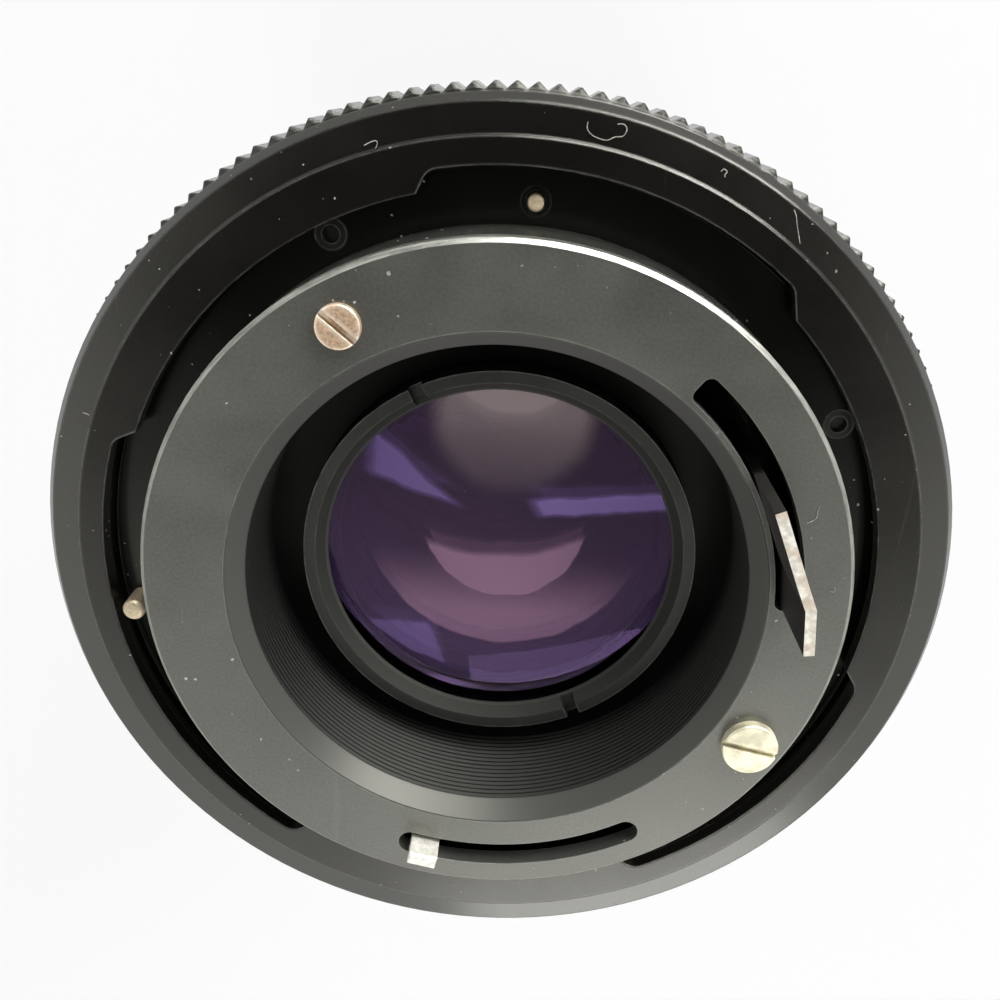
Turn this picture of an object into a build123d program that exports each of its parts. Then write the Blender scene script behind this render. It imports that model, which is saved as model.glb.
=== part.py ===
from build123d import *

import os
from math import atan2, cos, degrees, hypot, radians, sin

# Telephoto zoom lens with a breech-lock rear mount.
# Millimetres. The lens stands on its front rim at z = 0 and looks down, so +Z runs along the
# optical axis towards the camera and +Y is the top of the mount. A "depth" is a distance below
# the face of the rear plate, and angles run anticlockwise as seen from behind the lens.

# Whole lens and general clearances
LENS_LENGTH = 128.0
SEAT = 0.02
RUN = 0.25
END_PLAY = 0.2
OVERRUN = 1.0

# Rear plate, throat and flange
MOUNT_R = 24.3
PLATE_T = 1.4
PLATE_CHAMFER = 0.3
THROAT_WALL = 1.5
FLANGE_DEPTH = 6.0
FLANGE_T = 1.8
FLANGE_REACH = 3.7

# Light baffle in the throat
FUNNEL_INSET = 5.82
FUNNEL_DEPTH = 1.36
FUNNEL_WALL = 1.02
BAFFLE_LIP = 0.1
BAFFLE_SHOULDER = 0.27

# Lever slots in the rear plate
LEVER_SLOT_IN = 5.33
LEVER_SLOT_OUT = 3.37
LEVER_SLOT_START_ANGLE = 3.0
LEVER_SLOT_END_ANGLE = 54.25
LEVER_SLOT_CORNER = 0.6
SIGNAL_SLOT_START_ANGLE = 254.5
SIGNAL_SLOT_END_ANGLE = 303.5
SIGNAL_SLOT_IN_GAP = 0.46
SIGNAL_SLOT_OUT_GAP = 0.31

# Aperture lever: a bent strip on a ring that turns round the rear cell's hub
LEVER_T = 0.7
LEVER_RISE = 6.33
LEVER_INSET = 4.77
LEVER_TAIL_INSET = 4.45
LEVER_ANGLES = (33.0, 17.2, 12.6, 3.5)
LEVER_TURN_ANGLE = 20.0
LEVER_RING_T = 1.3
LEVER_RING_MARGIN = 0.25
LEVER_LINK_ANGLE = 190.0
LEVER_LINK_W = 3.0
LEVER_LINK_T = 1.6

# Aperture signal lever, carried by the aperture ring
SIGNAL_ANGLE = 259.75
SIGNAL_INSET = 2.65
SIGNAL_T = 1.03
SIGNAL_W = 2.1
SIGNAL_RISE = 1.68
SIGNAL_TURN_ANGLE = 38.0

# Slotted screws on the rear plate, one small and one large
SMALL_SCREW_ANGLE = 121.5
SMALL_SCREW_INSET = 3.1
SMALL_SCREW_HEAD_R = 1.45
SMALL_SCREW_HEAD_T = 0.55
SMALL_SCREW_SLOT_ANGLE = -37.0
LARGE_SCREW_ANGLE = 332.5
LARGE_SCREW_INSET = 2.85
LARGE_SCREW_HEAD_R = 2.0
LARGE_SCREW_HEAD_T = 0.75
LARGE_SCREW_SLOT_ANGLE = -10.4
PLATE_SCREWS = ((SMALL_SCREW_ANGLE, SMALL_SCREW_INSET, SMALL_SCREW_HEAD_R, SMALL_SCREW_HEAD_T,
                 SMALL_SCREW_SLOT_ANGLE),
                (LARGE_SCREW_ANGLE, LARGE_SCREW_INSET, LARGE_SCREW_HEAD_R, LARGE_SCREW_HEAD_T,
                 LARGE_SCREW_SLOT_ANGLE))
PLATE_SCREW_SHANK_R = 0.8
PLATE_SCREW_LENGTH = 4.4
SCREW_SLOT_W = 0.44
SCREW_SLOT_DEPTH = 0.38
SCREW_EDGE = 0.16
BOSS_R = 1.9

# Flange screws and the two pins on the flange
FLANGE_SCREW_ANGLE = 29.3
FLANGE_SCREW_COUNT = 4
FLANGE_SCREW_OUT = 1.7
FLANGE_SCREW_HEAD_R = 1.05
FLANGE_SCREW_HEAD_T = 0.9
FLANGE_SCREW_SHANK_R = 0.6
FLANGE_SCREW_LENGTH = 4.2
FLANGE_SCREW_SOCKET_R = 0.58
FLANGE_SCREW_SOCKET_DEPTH = 0.4
STOP_PIN_ANGLE = 191.2
STOP_PIN_OUT = 2.6
STOP_PIN_R = 0.8
STOP_PIN_RISE = 2.3
STOP_PIN_EDGE = 0.36
RELEASE_PIN_ANGLE = 89.0
RELEASE_PIN_OUT = 1.55
RELEASE_PIN_R = 0.52
RELEASE_PIN_RISE = 1.1
RELEASE_PIN_TRAVEL = 0.9
RELEASE_PIN_GAP = 0.15
PIN_CHAMFER = 0.12
RELEASE_COLLAR_R = 0.78
RELEASE_COLLAR_T = 0.7
RELEASE_POCKET_GAP = 0.12
RELEASE_SPRING_PRESSED = 2.4
RELEASE_SPRING_GAP = 0.08
RELEASE_SPRING_WIRE = 0.22
BUSH_WALL = 0.3

# Breech ring
RING_FACE_DEPTH = 3.75
LUG_T = 1.15
MOUNT_GAP = 2.56
LUG_REACH = 1.29
POCKET_ANGLES = ((48.25, 105.25, 51.75, 103.25), (161.25, 240.0, 163.75, 239.0),
           (295.5, 348.25, 297.0, 345.75))
POCKET_CORNER_R = 1.2
SPIGOT_STEP = 0.6
SHOULDER_STEP = 2.0
SHOULDER_T = 2.2
LEDGE_T = 2.2
SKIRT_SHORT = 0.4
RING_WALL = 2.15
RIDGE_INSET = 2.5
BAND_INSET = 0.5
BAND_DROP = 0.55
BEVEL_DROP = 1.25
RING_EDGE = 0.25
KNURL_COUNT = 152
KNURL_HEIGHT = 0.6
KNURL_TOOTH = 0.5
KNURL_FLAT = 0.1
KNURL_START = 3.65
KNURL_LENGTH = 4.2

# Main barrel
BARREL_STEP = 0.8
BARREL_WALL = 2.0
BORE_STEP = 1.0
RIB_STEP = 1.2
RIB_T = 3.0
BARREL_END_GAP = 1.4

# Iris cover with its hub
RIM_HEIGHT = 1.8
DECK_T = 1.4
HUB_GAP = 1.46
HUB_WALL = 1.55
HUB_LENGTH = 6.0
CLIP_T = 0.6
CLIP_W = 1.8
CLIP_GROOVE = 0.5
CLIP_ANGLE = 270.0
CLIP_OPENING_ANGLE = 16.0

# Rear cell and its glass
CELL_TOP_DEPTH = 6.3
CELL_WALL = 0.48
RETAINER_FLANGE = 1.06
RETAINER_LAND = 1.64
RETAINER_CONE = 0.75
RETAINER_SKIRT = 2.0
RETAINER_SKIRT_WALL = 0.62
SPANNER_W = 1.0
SPANNER_DEPTH = 0.85
SPANNER_ANGLE = 118.3
CELL_SHOULDER = 1.15
CELL_SHOULDER_T = 1.6
REAR_GLASS_T = 3.4
REAR_GLASS_SAG = 1.0
CELL_WEB = 1.3
CELL_WEB_REACH = 1.3
INNER_GLASS_STEP = 0.6
INNER_GLASS_T = 3.6
INNER_GLASS_SAG = 0.7
INNER_RING_T = 1.0
INNER_RING_W = 1.2

# Iris
IRIS_BLADES = 6
IRIS_HOLE_INSET = 6.5
BLADE_START_ANGLE = -6.0
BLADE_END_ANGLE = 92.0
BLADE_GAP = 0.2
BLADE_T = 0.25
BLADE_PITCH = 0.35
BLADE_CORNER = 1.2
BLADE_EAR_R = 1.0
BLADE_STEP = 0.8
BLADE_RATIO = 1.25
PIVOT_INSET = 3.35
PIVOT_PIN_R = 0.5
DRIVE_PIN_R = 0.45
DRIVE_ARM = 4.0
PIN_GAP = 0.15
DRIVE_PIN_SHORT = 0.1
PIVOT_FLOOR = 0.4
CARRIER_WALL = 2.0
CARRIER_FIT = 0.05
CARRIER_BASE_T = 1.8
CARRIER_TOP_LIP = 0.8
ROTOR_T = 1.2
ROTOR_HOLE_GAP = 0.9
SLOT_STEPS = 6
ROTOR_RING_T = 0.6
ROTOR_RING_W = 1.15
ROTOR_RING_GROOVE = 0.5
ROTOR_RING_ANGLE = 90.0
ROTOR_RING_OPENING_ANGLE = 12.0

# Aperture ring and its click stop
APERTURE_RING_LENGTH = 8.8
APERTURE_RING_WALL = 3.95
APERTURE_KEY_DROP = 3.2
KEY_R = 1.0
KEY_HEAD_R = 1.8
KEY_HEAD_T = 1.1
KEY_SINK = 0.3
SIGNAL_RING_MARGIN = 0.9
FLUTE_COUNT = 30
FLUTE_R = 2.2
FLUTE_DEPTH = 0.5
FLUTE_LENGTH = 4.6
CLICK_ANGLE = 20.0
CLICK_DROP = 6.6
CLICK_BALL_R = 0.75
CLICK_NOTCH = 0.3
NOTCH_ABOVE = 1.0
CLICK_BALL_GAP = 0.05
CLICK_STOPS = 8
CLICK_SPRING_LENGTH = 1.2
CLICK_SPRING_GAP = 0.1
CLICK_SPRING_WIRE = 0.25

# Fixed index rings
INDEX_LENGTH = 6.0
INDEX_WALL = 4.4
FOCUS_INDEX_LENGTH = 4.4
RING_CHAMFER = 0.5

# Zoom ring, cam tube and their keys
ZOOM_LENGTH = 29.0
ZOOM_WALL = 2.75
ZOOM_TURN_ANGLE = 70.0
GRIP_T = 1.4
GRIP_MARGIN = 2.0
GRIP_RIBS = 60
GRIP_GROOVE = 0.5
GRIP_LAND = 0.6
GRIP_END_BAND = 1.5
ZOOM_KEY_DROP = 5.0
ZOOM_KEY_TIP_GAP = 0.2
ZOOM_KEY_ANGLES = (30.0, 210.0)
CAM_WALL = 2.25
CAM_END = 1.0
CAM_RETAINER_T = 1.8
CAM_RETAINER_STEP = 2.0

# Moving optical cells
ROLLER_ANGLES = (90.0, 210.0, 330.0)
ROLLER_R = 1.2
ROLLER_GAP = 0.15
ROLLER_END_GAP = 0.3
ROLLER_SOCKET = 1.6
SLOT_END_GAP = 0.4
CELL_HALF = 3.5
CELL_RIM = 4.6
CELL_LIP = 1.2
CELL_LIP_T = 1.0
COMPENSATOR_DEPTH = 50.0
COMPENSATOR_TRAVEL = 8.0
COMPENSATOR_SAG = 1.2
CELL_GAP = 1.0
VARIATOR_TRAVEL = -24.0
VARIATOR_SAG = -1.0
LOCK_RING_T = 1.2
CAM_STEPS = 7

# Focus ring, front barrel and front cell
NECK_WALL = 1.7
NECK_LENGTH = 1.4
CLAMP_T = 1.6
CLAMP_WALL = 2.6
LIP_T = 1.0
FOCUS_WALL = 1.4
FOCUS_GRIP_T = 1.2
FOCUS_GRIP_START = 6.0
FOCUS_GRIP_END = 3.0
FRONT_TUBE_WALL = 1.2
FRONT_TUBE_START = 1.4
FOCUS_TRAVEL = 8.0
FRONT_GAP = 0.4
FRONT_HEAD_LENGTH = 23.6
FRONT_FLARE = 1.85
FILTER_WALL = 2.8
FILTER_DEPTH = 6.4
FILTER_SEAT = 0.6
FRONT_BORE_STEP = 1.1
FRONT_WEB_T = 1.5
FRONT_WEB_REACH = 1.0
FRONT_RIM_CHAMFER = 0.4
FRONT_RING_T = 2.4
FRONT_RING_W = 3.4
FRONT_RING_BEVEL_W = 1.4
FRONT_RING_BEVEL_T = 1.6
FRONT_CELL_LENGTH = 12.1
FRONT_CELL_WALL = 2.0
FRONT_GLASS_T = 5.0
FRONT_GLASS_SAG = 2.2
FRONT_GLASS_BACK_SAG = 0.8
FRONT_WEB_GLASS = 1.4
FRONT_INNER_STEP = 0.6
FRONT_INNER_SAG = 0.9
FRONT_LOCK_T = 1.0
FRONT_LOCK_W = 1.1
FOCUS_KEY_ANGLES = (90.0, 210.0, 330.0)
FOCUS_KEY_LENGTH = 4.0
FOCUS_KEY_W = 3.0
FOCUS_KEY_FROM_END = 5.0
FOCUS_KEY_TOP_GAP = 0.25
FOCUS_KEY_SEAT = 0.4

# Radii that follow from the sizes above
flange_r = MOUNT_R + FLANGE_REACH
throat_r = MOUNT_R - THROAT_WALL
funnel_r = MOUNT_R - FUNNEL_INSET
baffle_bore_r = funnel_r - FUNNEL_WALL
baffle_r = funnel_r + BAFFLE_LIP
baffle_shoulder_r = baffle_r + BAFFLE_SHOULDER
lug_r = MOUNT_R + MOUNT_GAP
pocket_r = lug_r + LUG_REACH
spigot_r = flange_r - SPIGOT_STEP
shoulder_r = flange_r + SHOULDER_STEP
skirt_r = shoulder_r + RUN
band_r = skirt_r + RING_WALL
knurl_r = band_r + KNURL_HEIGHT
barrel_r = spigot_r - BARREL_STEP
barrel_bore_r = barrel_r - BARREL_WALL
rear_bore_r = barrel_bore_r - BORE_STEP
rib_bore_r = rear_bore_r - RIB_STEP
signal_r = MOUNT_R - SIGNAL_INSET
lever_r = MOUNT_R - LEVER_INSET
lever_tail_r = MOUNT_R - LEVER_TAIL_INSET
hub_r = baffle_bore_r - HUB_GAP
rear_cell_r = hub_r - HUB_WALL
retainer_in_r = rear_cell_r - RETAINER_LAND
rear_glass_r = rear_cell_r - CELL_WALL - RETAINER_SKIRT_WALL - SEAT
inner_glass_r = rear_glass_r - INNER_GLASS_STEP
lever_ring_r = lever_tail_r + LEVER_T / 2 + LEVER_RING_MARGIN
carrier_r = rear_bore_r - CARRIER_FIT
carrier_bore_r = carrier_r - CARRIER_WALL
rotor_r = carrier_bore_r - RUN
pivot_r = carrier_bore_r - PIVOT_INSET
iris_hole_r = pivot_r - IRIS_HOLE_INSET
blade_in_r = iris_hole_r + BLADE_GAP
blade_out_r = pivot_r - BLADE_STEP
ring_bore_r = barrel_r + RUN
cam_r = barrel_bore_r - RUN
cam_bore_r = cam_r - CAM_WALL
cell_r = cam_bore_r - RUN
neck_r = barrel_r + NECK_WALL
clamp_r = barrel_r + CLAMP_WALL
front_tube_r = ring_bore_r + FRONT_TUBE_WALL
focus_bore_r = front_tube_r + RUN
front_r = front_tube_r + FRONT_FLARE
filter_r = front_r - FILTER_WALL
front_bore_r = filter_r - FRONT_BORE_STEP
front_glass_r = front_bore_r - FRONT_CELL_WALL
front_inner_r = front_glass_r - FRONT_INNER_STEP
front_ring_in_r = front_bore_r - SEAT - FRONT_RING_W

# Depths that follow from the sizes above
flange_back = FLANGE_DEPTH + FLANGE_T
release_collar_back = flange_back + RELEASE_COLLAR_T
release_pocket_back = release_collar_back + RELEASE_PIN_TRAVEL + RELEASE_SPRING_PRESSED
ledge_top = flange_back + END_PLAY
ledge_back = ledge_top + LEDGE_T
shoulder_top = ledge_back + END_PLAY
shoulder_back = shoulder_top + SHOULDER_T
ring_back = shoulder_back - SKIRT_SHORT
deck_top = flange_back + RIM_HEIGHT
deck_back = deck_top + DECK_T
hub_back = deck_back + HUB_LENGTH
lever_ring_top = deck_back + RUN
lever_ring_back = lever_ring_top + LEVER_RING_T
clip_top = lever_ring_back + RUN
aperture_top = shoulder_back + END_PLAY
aperture_back = aperture_top + APERTURE_RING_LENGTH
aperture_key_depth = aperture_top + APERTURE_KEY_DROP
signal_ring_back = aperture_key_depth + KEY_R + SIGNAL_RING_MARGIN
carrier_top = signal_ring_back + RUN
rotor_ring_top = carrier_top + CARRIER_TOP_LIP
rotor_top = rotor_ring_top + ROTOR_RING_T + END_PLAY
rotor_back = rotor_top + ROTOR_T
blades_top = rotor_back + END_PLAY
carrier_base = blades_top + IRIS_BLADES * BLADE_PITCH + BLADE_GAP / 2
rib_top = carrier_base + CARRIER_BASE_T
rib_back = rib_top + RIB_T
index_top = aperture_back + END_PLAY
index_back = index_top + INDEX_LENGTH
zoom_top = index_back + END_PLAY
zoom_back = zoom_top + ZOOM_LENGTH
zoom_key_depth = zoom_top + ZOOM_KEY_DROP
variator_depth = COMPENSATOR_DEPTH + 2 * CELL_HALF + CELL_GAP
cam_top = rib_back + END_PLAY
cam_back = variator_depth - VARIATOR_TRAVEL + ROLLER_R + ROLLER_GAP + CAM_END
cam_retainer_top = cam_back + END_PLAY
focus_index_top = zoom_back + END_PLAY
focus_index_back = focus_index_top + FOCUS_INDEX_LENGTH
neck_back = focus_index_back + NECK_LENGTH
clamp_back = neck_back + CLAMP_T
focus_top = focus_index_back + END_PLAY
flare_top = LENS_LENGTH - FRONT_HEAD_LENGTH
focus_back = flare_top - FRONT_GAP
front_tube_top = clamp_back + FRONT_TUBE_START
barrel_end = flare_top - BARREL_END_GAP
filter_top = LENS_LENGTH - FILTER_DEPTH
front_ring_back = filter_top - FILTER_SEAT
front_ring_top = front_ring_back - FRONT_RING_T
front_cell_top = front_ring_top - FRONT_CELL_LENGTH
front_web_top = front_cell_top - FRONT_WEB_T
focus_key_depth = barrel_end - FOCUS_KEY_FROM_END


def z_at(depth):
    """Height of a depth below the rear plate's face."""
    return LENS_LENGTH - depth


def turned(points):
    """A turned piece from its section: (radius, depth) points."""
    outline = Polyline(*[(r, z_at(d)) for r, d in points], close=True)
    return revolve(Plane.XZ * make_face(outline), Axis.Z)


def tube(outer, inner, top, back):
    """A plain tube between two depths."""
    wall = Cylinder(outer, back - top) - Cylinder(inner, back - top)
    return Pos(0, 0, z_at((top + back) / 2)) * wall


def rod(radius, top, back, x=0.0, y=0.0):
    """A round rod along the axis between two depths."""
    return Pos(x, y, z_at((top + back) / 2)) * Cylinder(radius, back - top)


def rod_at(radius, top, back, place_r, angle):
    """A round rod along the axis at a radius and an angle."""
    return Rot(0, 0, angle) * rod(radius, top, back, place_r)


def radial_rod(radius, r_from, r_to, angle, depth):
    """A round rod that points away from the axis."""
    place = Rot(0, 0, angle) * Pos((r_from + r_to) / 2, 0, z_at(depth)) * Rot(0, 90, 0)
    return place * Cylinder(radius, r_to - r_from)


def slab(face, top, back):
    """A flat outline made solid between two depths."""
    return Pos(0, 0, z_at(back)) * extrude(face, back - top, dir=(0, 0, 1))


def sector(inner, outer, start, end):
    """Outline between two radii and two angles."""
    outside = CenterArc((0, 0), outer, start, end - start)
    inside = CenterArc((0, 0), inner, start, end - start)
    sides = Line(outside @ 0, inside @ 0) + Line(outside @ 1, inside @ 1)
    return make_face(outside + inside + sides)


def arc_slot(inner, outer, start, end):
    """Outline of an arc slot with full-round ends that reach the two angles."""
    middle = (inner + outer) / 2
    end_angle = degrees((outer - inner) / 2 / middle)
    line = CenterArc((0, 0), middle, start + end_angle, end - start - 2 * end_angle)
    return SlotArc(line, outer - inner)


def ring_opening(inner, outer, angle, opening, top, back):
    """The gap of a spring ring, for cutting through it."""
    outline = sector(inner - OVERRUN, outer + OVERRUN, angle - opening / 2, angle + opening / 2)
    return slab(outline, top - OVERRUN, back + OVERRUN)


def strip(points, thickness):
    """Outline of a bent strip of even thickness along a line of points."""
    left, right = [], []
    for i, point in enumerate(points):
        before = points[max(i - 1, 0)]
        after = points[min(i + 1, len(points) - 1)]
        run = (after[0] - before[0], after[1] - before[1])
        scale = thickness / 2 / hypot(*run)
        left.append((point[0] - run[1] * scale, point[1] + run[0] * scale))
        right.append((point[0] + run[1] * scale, point[1] - run[0] * scale))
    return make_face(Polyline(*left, *reversed(right), close=True))


def dome(radius, edge_depth, sag):
    """Arc of a glass face from the axis to its edge; a positive sag rises to the rear."""
    centre = (0, z_at(edge_depth) + sag)
    edge = (radius, z_at(edge_depth))
    curve_r = (radius ** 2 + sag ** 2) / (2 * abs(sag))
    side = 1 if sag > 0 else -1
    middle = (radius / 2, centre[1] - side * (curve_r - (curve_r ** 2 - radius ** 2 / 4) ** 0.5))
    return centre, edge, ThreePointArc(centre, middle, edge)


def glass(radius, rim, top, back, sag_top, sag_back):
    """A glass element: a ground edge, a flat rim each side and two spherical faces."""
    top_centre, top_edge, top_arc = dome(radius - rim, top, sag_top)
    back_centre, back_edge, back_arc = dome(radius - rim, back, sag_back)
    rest = Polyline(top_edge, (radius, z_at(top)), (radius, z_at(back)), back_edge)
    outline = top_arc + rest + back_arc + Line(back_centre, top_centre)
    return revolve(Plane.XZ * make_face(outline), Axis.Z)


def polar(r, angle):
    return (r * cos(radians(angle)), r * sin(radians(angle)))


# Rear mount


def lever_slot(top, back, slack=0.0):
    """Arc slot that the aperture lever's strip moves in."""
    inner = MOUNT_R - LEVER_SLOT_IN - slack
    outer = MOUNT_R - LEVER_SLOT_OUT + slack
    outline = sector(inner, outer, LEVER_SLOT_START_ANGLE, LEVER_SLOT_END_ANGLE)
    return slab(fillet(outline.vertices(), LEVER_SLOT_CORNER), top, back)


def signal_slot(top, back):
    """Arc slot that the aperture signal lever moves in."""
    inner = signal_r - SIGNAL_T / 2 - SIGNAL_SLOT_IN_GAP
    outer = signal_r + SIGNAL_T / 2 + SIGNAL_SLOT_OUT_GAP
    return slab(arc_slot(inner, outer, SIGNAL_SLOT_START_ANGLE, SIGNAL_SLOT_END_ANGLE), top, back)


def rear_plate():
    hole_r = baffle_r + SEAT
    body = turned([(hole_r, 0), (MOUNT_R - PLATE_CHAMFER, 0), (MOUNT_R, PLATE_CHAMFER),
                   (MOUNT_R, PLATE_T), (hole_r, PLATE_T)])
    body -= lever_slot(-OVERRUN, PLATE_T + OVERRUN)
    body -= signal_slot(-OVERRUN, PLATE_T + OVERRUN)
    for angle, inset, _, _, _ in PLATE_SCREWS:
        body -= rod_at(PLATE_SCREW_SHANK_R + SEAT, -OVERRUN, PLATE_T + OVERRUN,
                       MOUNT_R - inset, angle)
    return body


def plate_screws():
    screws = []
    for angle, inset, head_r, height, direction in PLATE_SCREWS:
        head = rod(head_r, -height, 0)
        head = fillet(head.edges().group_by(Axis.Z)[-1], SCREW_EDGE)
        cut = Box(4 * head_r, SCREW_SLOT_W, 2 * SCREW_SLOT_DEPTH)
        head -= Pos(0, 0, z_at(-height)) * Rot(0, 0, direction) * cut
        screw = head + rod(PLATE_SCREW_SHANK_R, 0, PLATE_SCREW_LENGTH)
        x, y = polar(MOUNT_R - inset, angle)
        screws.append(Pos(x, y, 0) * screw)
    return screws


def flange_screw_angles():
    return [FLANGE_SCREW_ANGLE + i * 360 / FLANGE_SCREW_COUNT for i in range(FLANGE_SCREW_COUNT)]


def flange_screws():
    place_r = MOUNT_R + FLANGE_SCREW_OUT
    head_back = FLANGE_DEPTH + FLANGE_SCREW_HEAD_T
    screw = rod(FLANGE_SCREW_HEAD_R, FLANGE_DEPTH, head_back, place_r)
    screw += rod(FLANGE_SCREW_SHANK_R, head_back, head_back + FLANGE_SCREW_LENGTH, place_r)
    recess = rod(FLANGE_SCREW_SOCKET_R, FLANGE_DEPTH - OVERRUN,
                 FLANGE_DEPTH + FLANGE_SCREW_SOCKET_DEPTH, place_r)
    return [Rot(0, 0, angle) * (screw - recess) for angle in flange_screw_angles()]


def mount_base():
    body = turned([(throat_r, PLATE_T), (MOUNT_R, PLATE_T), (MOUNT_R, FLANGE_DEPTH),
                   (flange_r, FLANGE_DEPTH), (flange_r, flange_back), (throat_r, flange_back)])
    inside = rod(throat_r + THROAT_WALL / 2, PLATE_T, FLANGE_DEPTH)
    for angle, inset, _, _, _ in PLATE_SCREWS:
        boss = rod_at(BOSS_R, PLATE_T, FLANGE_DEPTH, MOUNT_R - inset, angle)
        body += boss & inside
    for angle, inset, _, _, _ in PLATE_SCREWS:
        hole_r = PLATE_SCREW_SHANK_R + SEAT
        body -= rod_at(hole_r, PLATE_T - OVERRUN, PLATE_SCREW_LENGTH, MOUNT_R - inset, angle)
    screw_r = MOUNT_R + FLANGE_SCREW_OUT
    head_back = FLANGE_DEPTH + FLANGE_SCREW_HEAD_T
    for angle in flange_screw_angles():
        body -= rod_at(FLANGE_SCREW_HEAD_R + SEAT, FLANGE_DEPTH - OVERRUN, head_back, screw_r,
                       angle)
        body -= rod_at(FLANGE_SCREW_SHANK_R + SEAT, FLANGE_DEPTH, flange_back + OVERRUN, screw_r,
                       angle)
    bush_r = RELEASE_PIN_R + RELEASE_PIN_GAP + BUSH_WALL
    pin_top, pin_back = FLANGE_DEPTH - OVERRUN, flange_back + OVERRUN
    body -= rod_at(bush_r + SEAT, pin_top, pin_back, MOUNT_R + RELEASE_PIN_OUT, RELEASE_PIN_ANGLE)
    body -= rod_at(STOP_PIN_R + SEAT, pin_top, pin_back, MOUNT_R + STOP_PIN_OUT, STOP_PIN_ANGLE)
    return body


def light_baffle():
    bore_back = deck_top
    return turned([(funnel_r, 0), (baffle_r, 0), (baffle_r, PLATE_T), (baffle_shoulder_r, PLATE_T),
                   (baffle_shoulder_r, bore_back), (baffle_bore_r, bore_back),
                   (baffle_bore_r, FUNNEL_DEPTH)])


def stop_pin():
    pin = rod(STOP_PIN_R, FLANGE_DEPTH - STOP_PIN_RISE, flange_back)
    pin = fillet(pin.edges().group_by(Axis.Z)[-1], STOP_PIN_EDGE)
    x, y = polar(MOUNT_R + STOP_PIN_OUT, STOP_PIN_ANGLE)
    return Pos(x, y, 0) * pin


def release_bush():
    bore_r = RELEASE_PIN_R + RELEASE_PIN_GAP
    body = tube(bore_r + BUSH_WALL, bore_r, FLANGE_DEPTH, flange_back)
    x, y = polar(MOUNT_R + RELEASE_PIN_OUT, RELEASE_PIN_ANGLE)
    return Pos(x, y, 0) * body


def release_pin():
    pin = rod(RELEASE_PIN_R, FLANGE_DEPTH - RELEASE_PIN_RISE, release_collar_back)
    pin = chamfer(pin.edges().group_by(Axis.Z)[-1], PIN_CHAMFER)
    pin += rod(RELEASE_COLLAR_R, flange_back + SEAT, release_collar_back)
    x, y = polar(MOUNT_R + RELEASE_PIN_OUT, RELEASE_PIN_ANGLE)
    return Pos(x, y, 0) * pin


def release_spring():
    outer = RELEASE_COLLAR_R - RELEASE_SPRING_GAP
    body = tube(outer, outer - RELEASE_SPRING_WIRE, release_collar_back, release_pocket_back)
    x, y = polar(MOUNT_R + RELEASE_PIN_OUT, RELEASE_PIN_ANGLE)
    return Pos(x, y, 0) * body


# Breech ring


def knurl_band(top, back):
    """Straight V-grooves round the ring, with very narrow flats on their crests."""
    root_r = knurl_r - KNURL_TOOTH
    pitch = 360 / KNURL_COUNT
    points = []
    for i in range(KNURL_COUNT):
        crest = i * pitch
        points.append(polar(knurl_r, crest - KNURL_FLAT * pitch / 2))
        points.append(polar(knurl_r, crest + KNURL_FLAT * pitch / 2))
        points.append(polar(root_r, crest + pitch / 2))
    return slab(make_face(Polyline(*points, close=True)), top, back)


def breech_ring():
    band_start = RING_FACE_DEPTH + BEVEL_DROP
    knurl_top = RING_FACE_DEPTH + KNURL_START
    knurl_back = knurl_top + KNURL_LENGTH
    outside = turned([(0, RING_FACE_DEPTH), (band_r - RIDGE_INSET, RING_FACE_DEPTH),
                      (band_r - RIDGE_INSET, RING_FACE_DEPTH + RING_EDGE),
                      (band_r - BAND_INSET, RING_FACE_DEPTH + BAND_DROP), (band_r, band_start),
                      (band_r, ring_back - RING_EDGE), (band_r - RING_EDGE, ring_back),
                      (0, ring_back)])
    body = outside + knurl_band(knurl_top, knurl_back)
    lug_back = RING_FACE_DEPTH + LUG_T
    cavity_r = flange_r + RUN
    ledge_r = spigot_r + RUN
    body -= turned([(0, RING_FACE_DEPTH - OVERRUN), (lug_r, RING_FACE_DEPTH - OVERRUN),
                    (lug_r, lug_back), (cavity_r, lug_back), (cavity_r, ledge_top),
                    (ledge_r, ledge_top), (ledge_r, ledge_back), (skirt_r, ledge_back),
                    (skirt_r, ring_back + OVERRUN), (0, ring_back + OVERRUN)])
    for start, end, low_start, low_end in POCKET_ANGLES:
        body -= slab(pocket_outline(start, end, low_start, low_end), 0, lug_back)
    return body


def pocket_outline(start, end, low_start, low_end):
    """A pocket between two lugs: its sides lean in and run into its outer wall by a round."""
    inner_r = lug_r - OVERRUN
    inner_start, inner_end = polar(inner_r, start), polar(inner_r, end)
    outer = CenterArc((0, 0), pocket_r, low_start, low_end - low_start)
    inner = CenterArc((0, 0), inner_r, start, end - start)
    near = Polyline(outer @ 0, polar(lug_r, start), inner_start)
    far = Polyline(outer @ 1, polar(lug_r, end), inner_end)
    outline = make_face(outer + near + inner + far)
    corners = [v for v in outline.vertices() if abs(hypot(v.X, v.Y) - pocket_r) < SEAT]
    return fillet(corners, POCKET_CORNER_R)


# Main barrel and the rings on it


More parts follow.
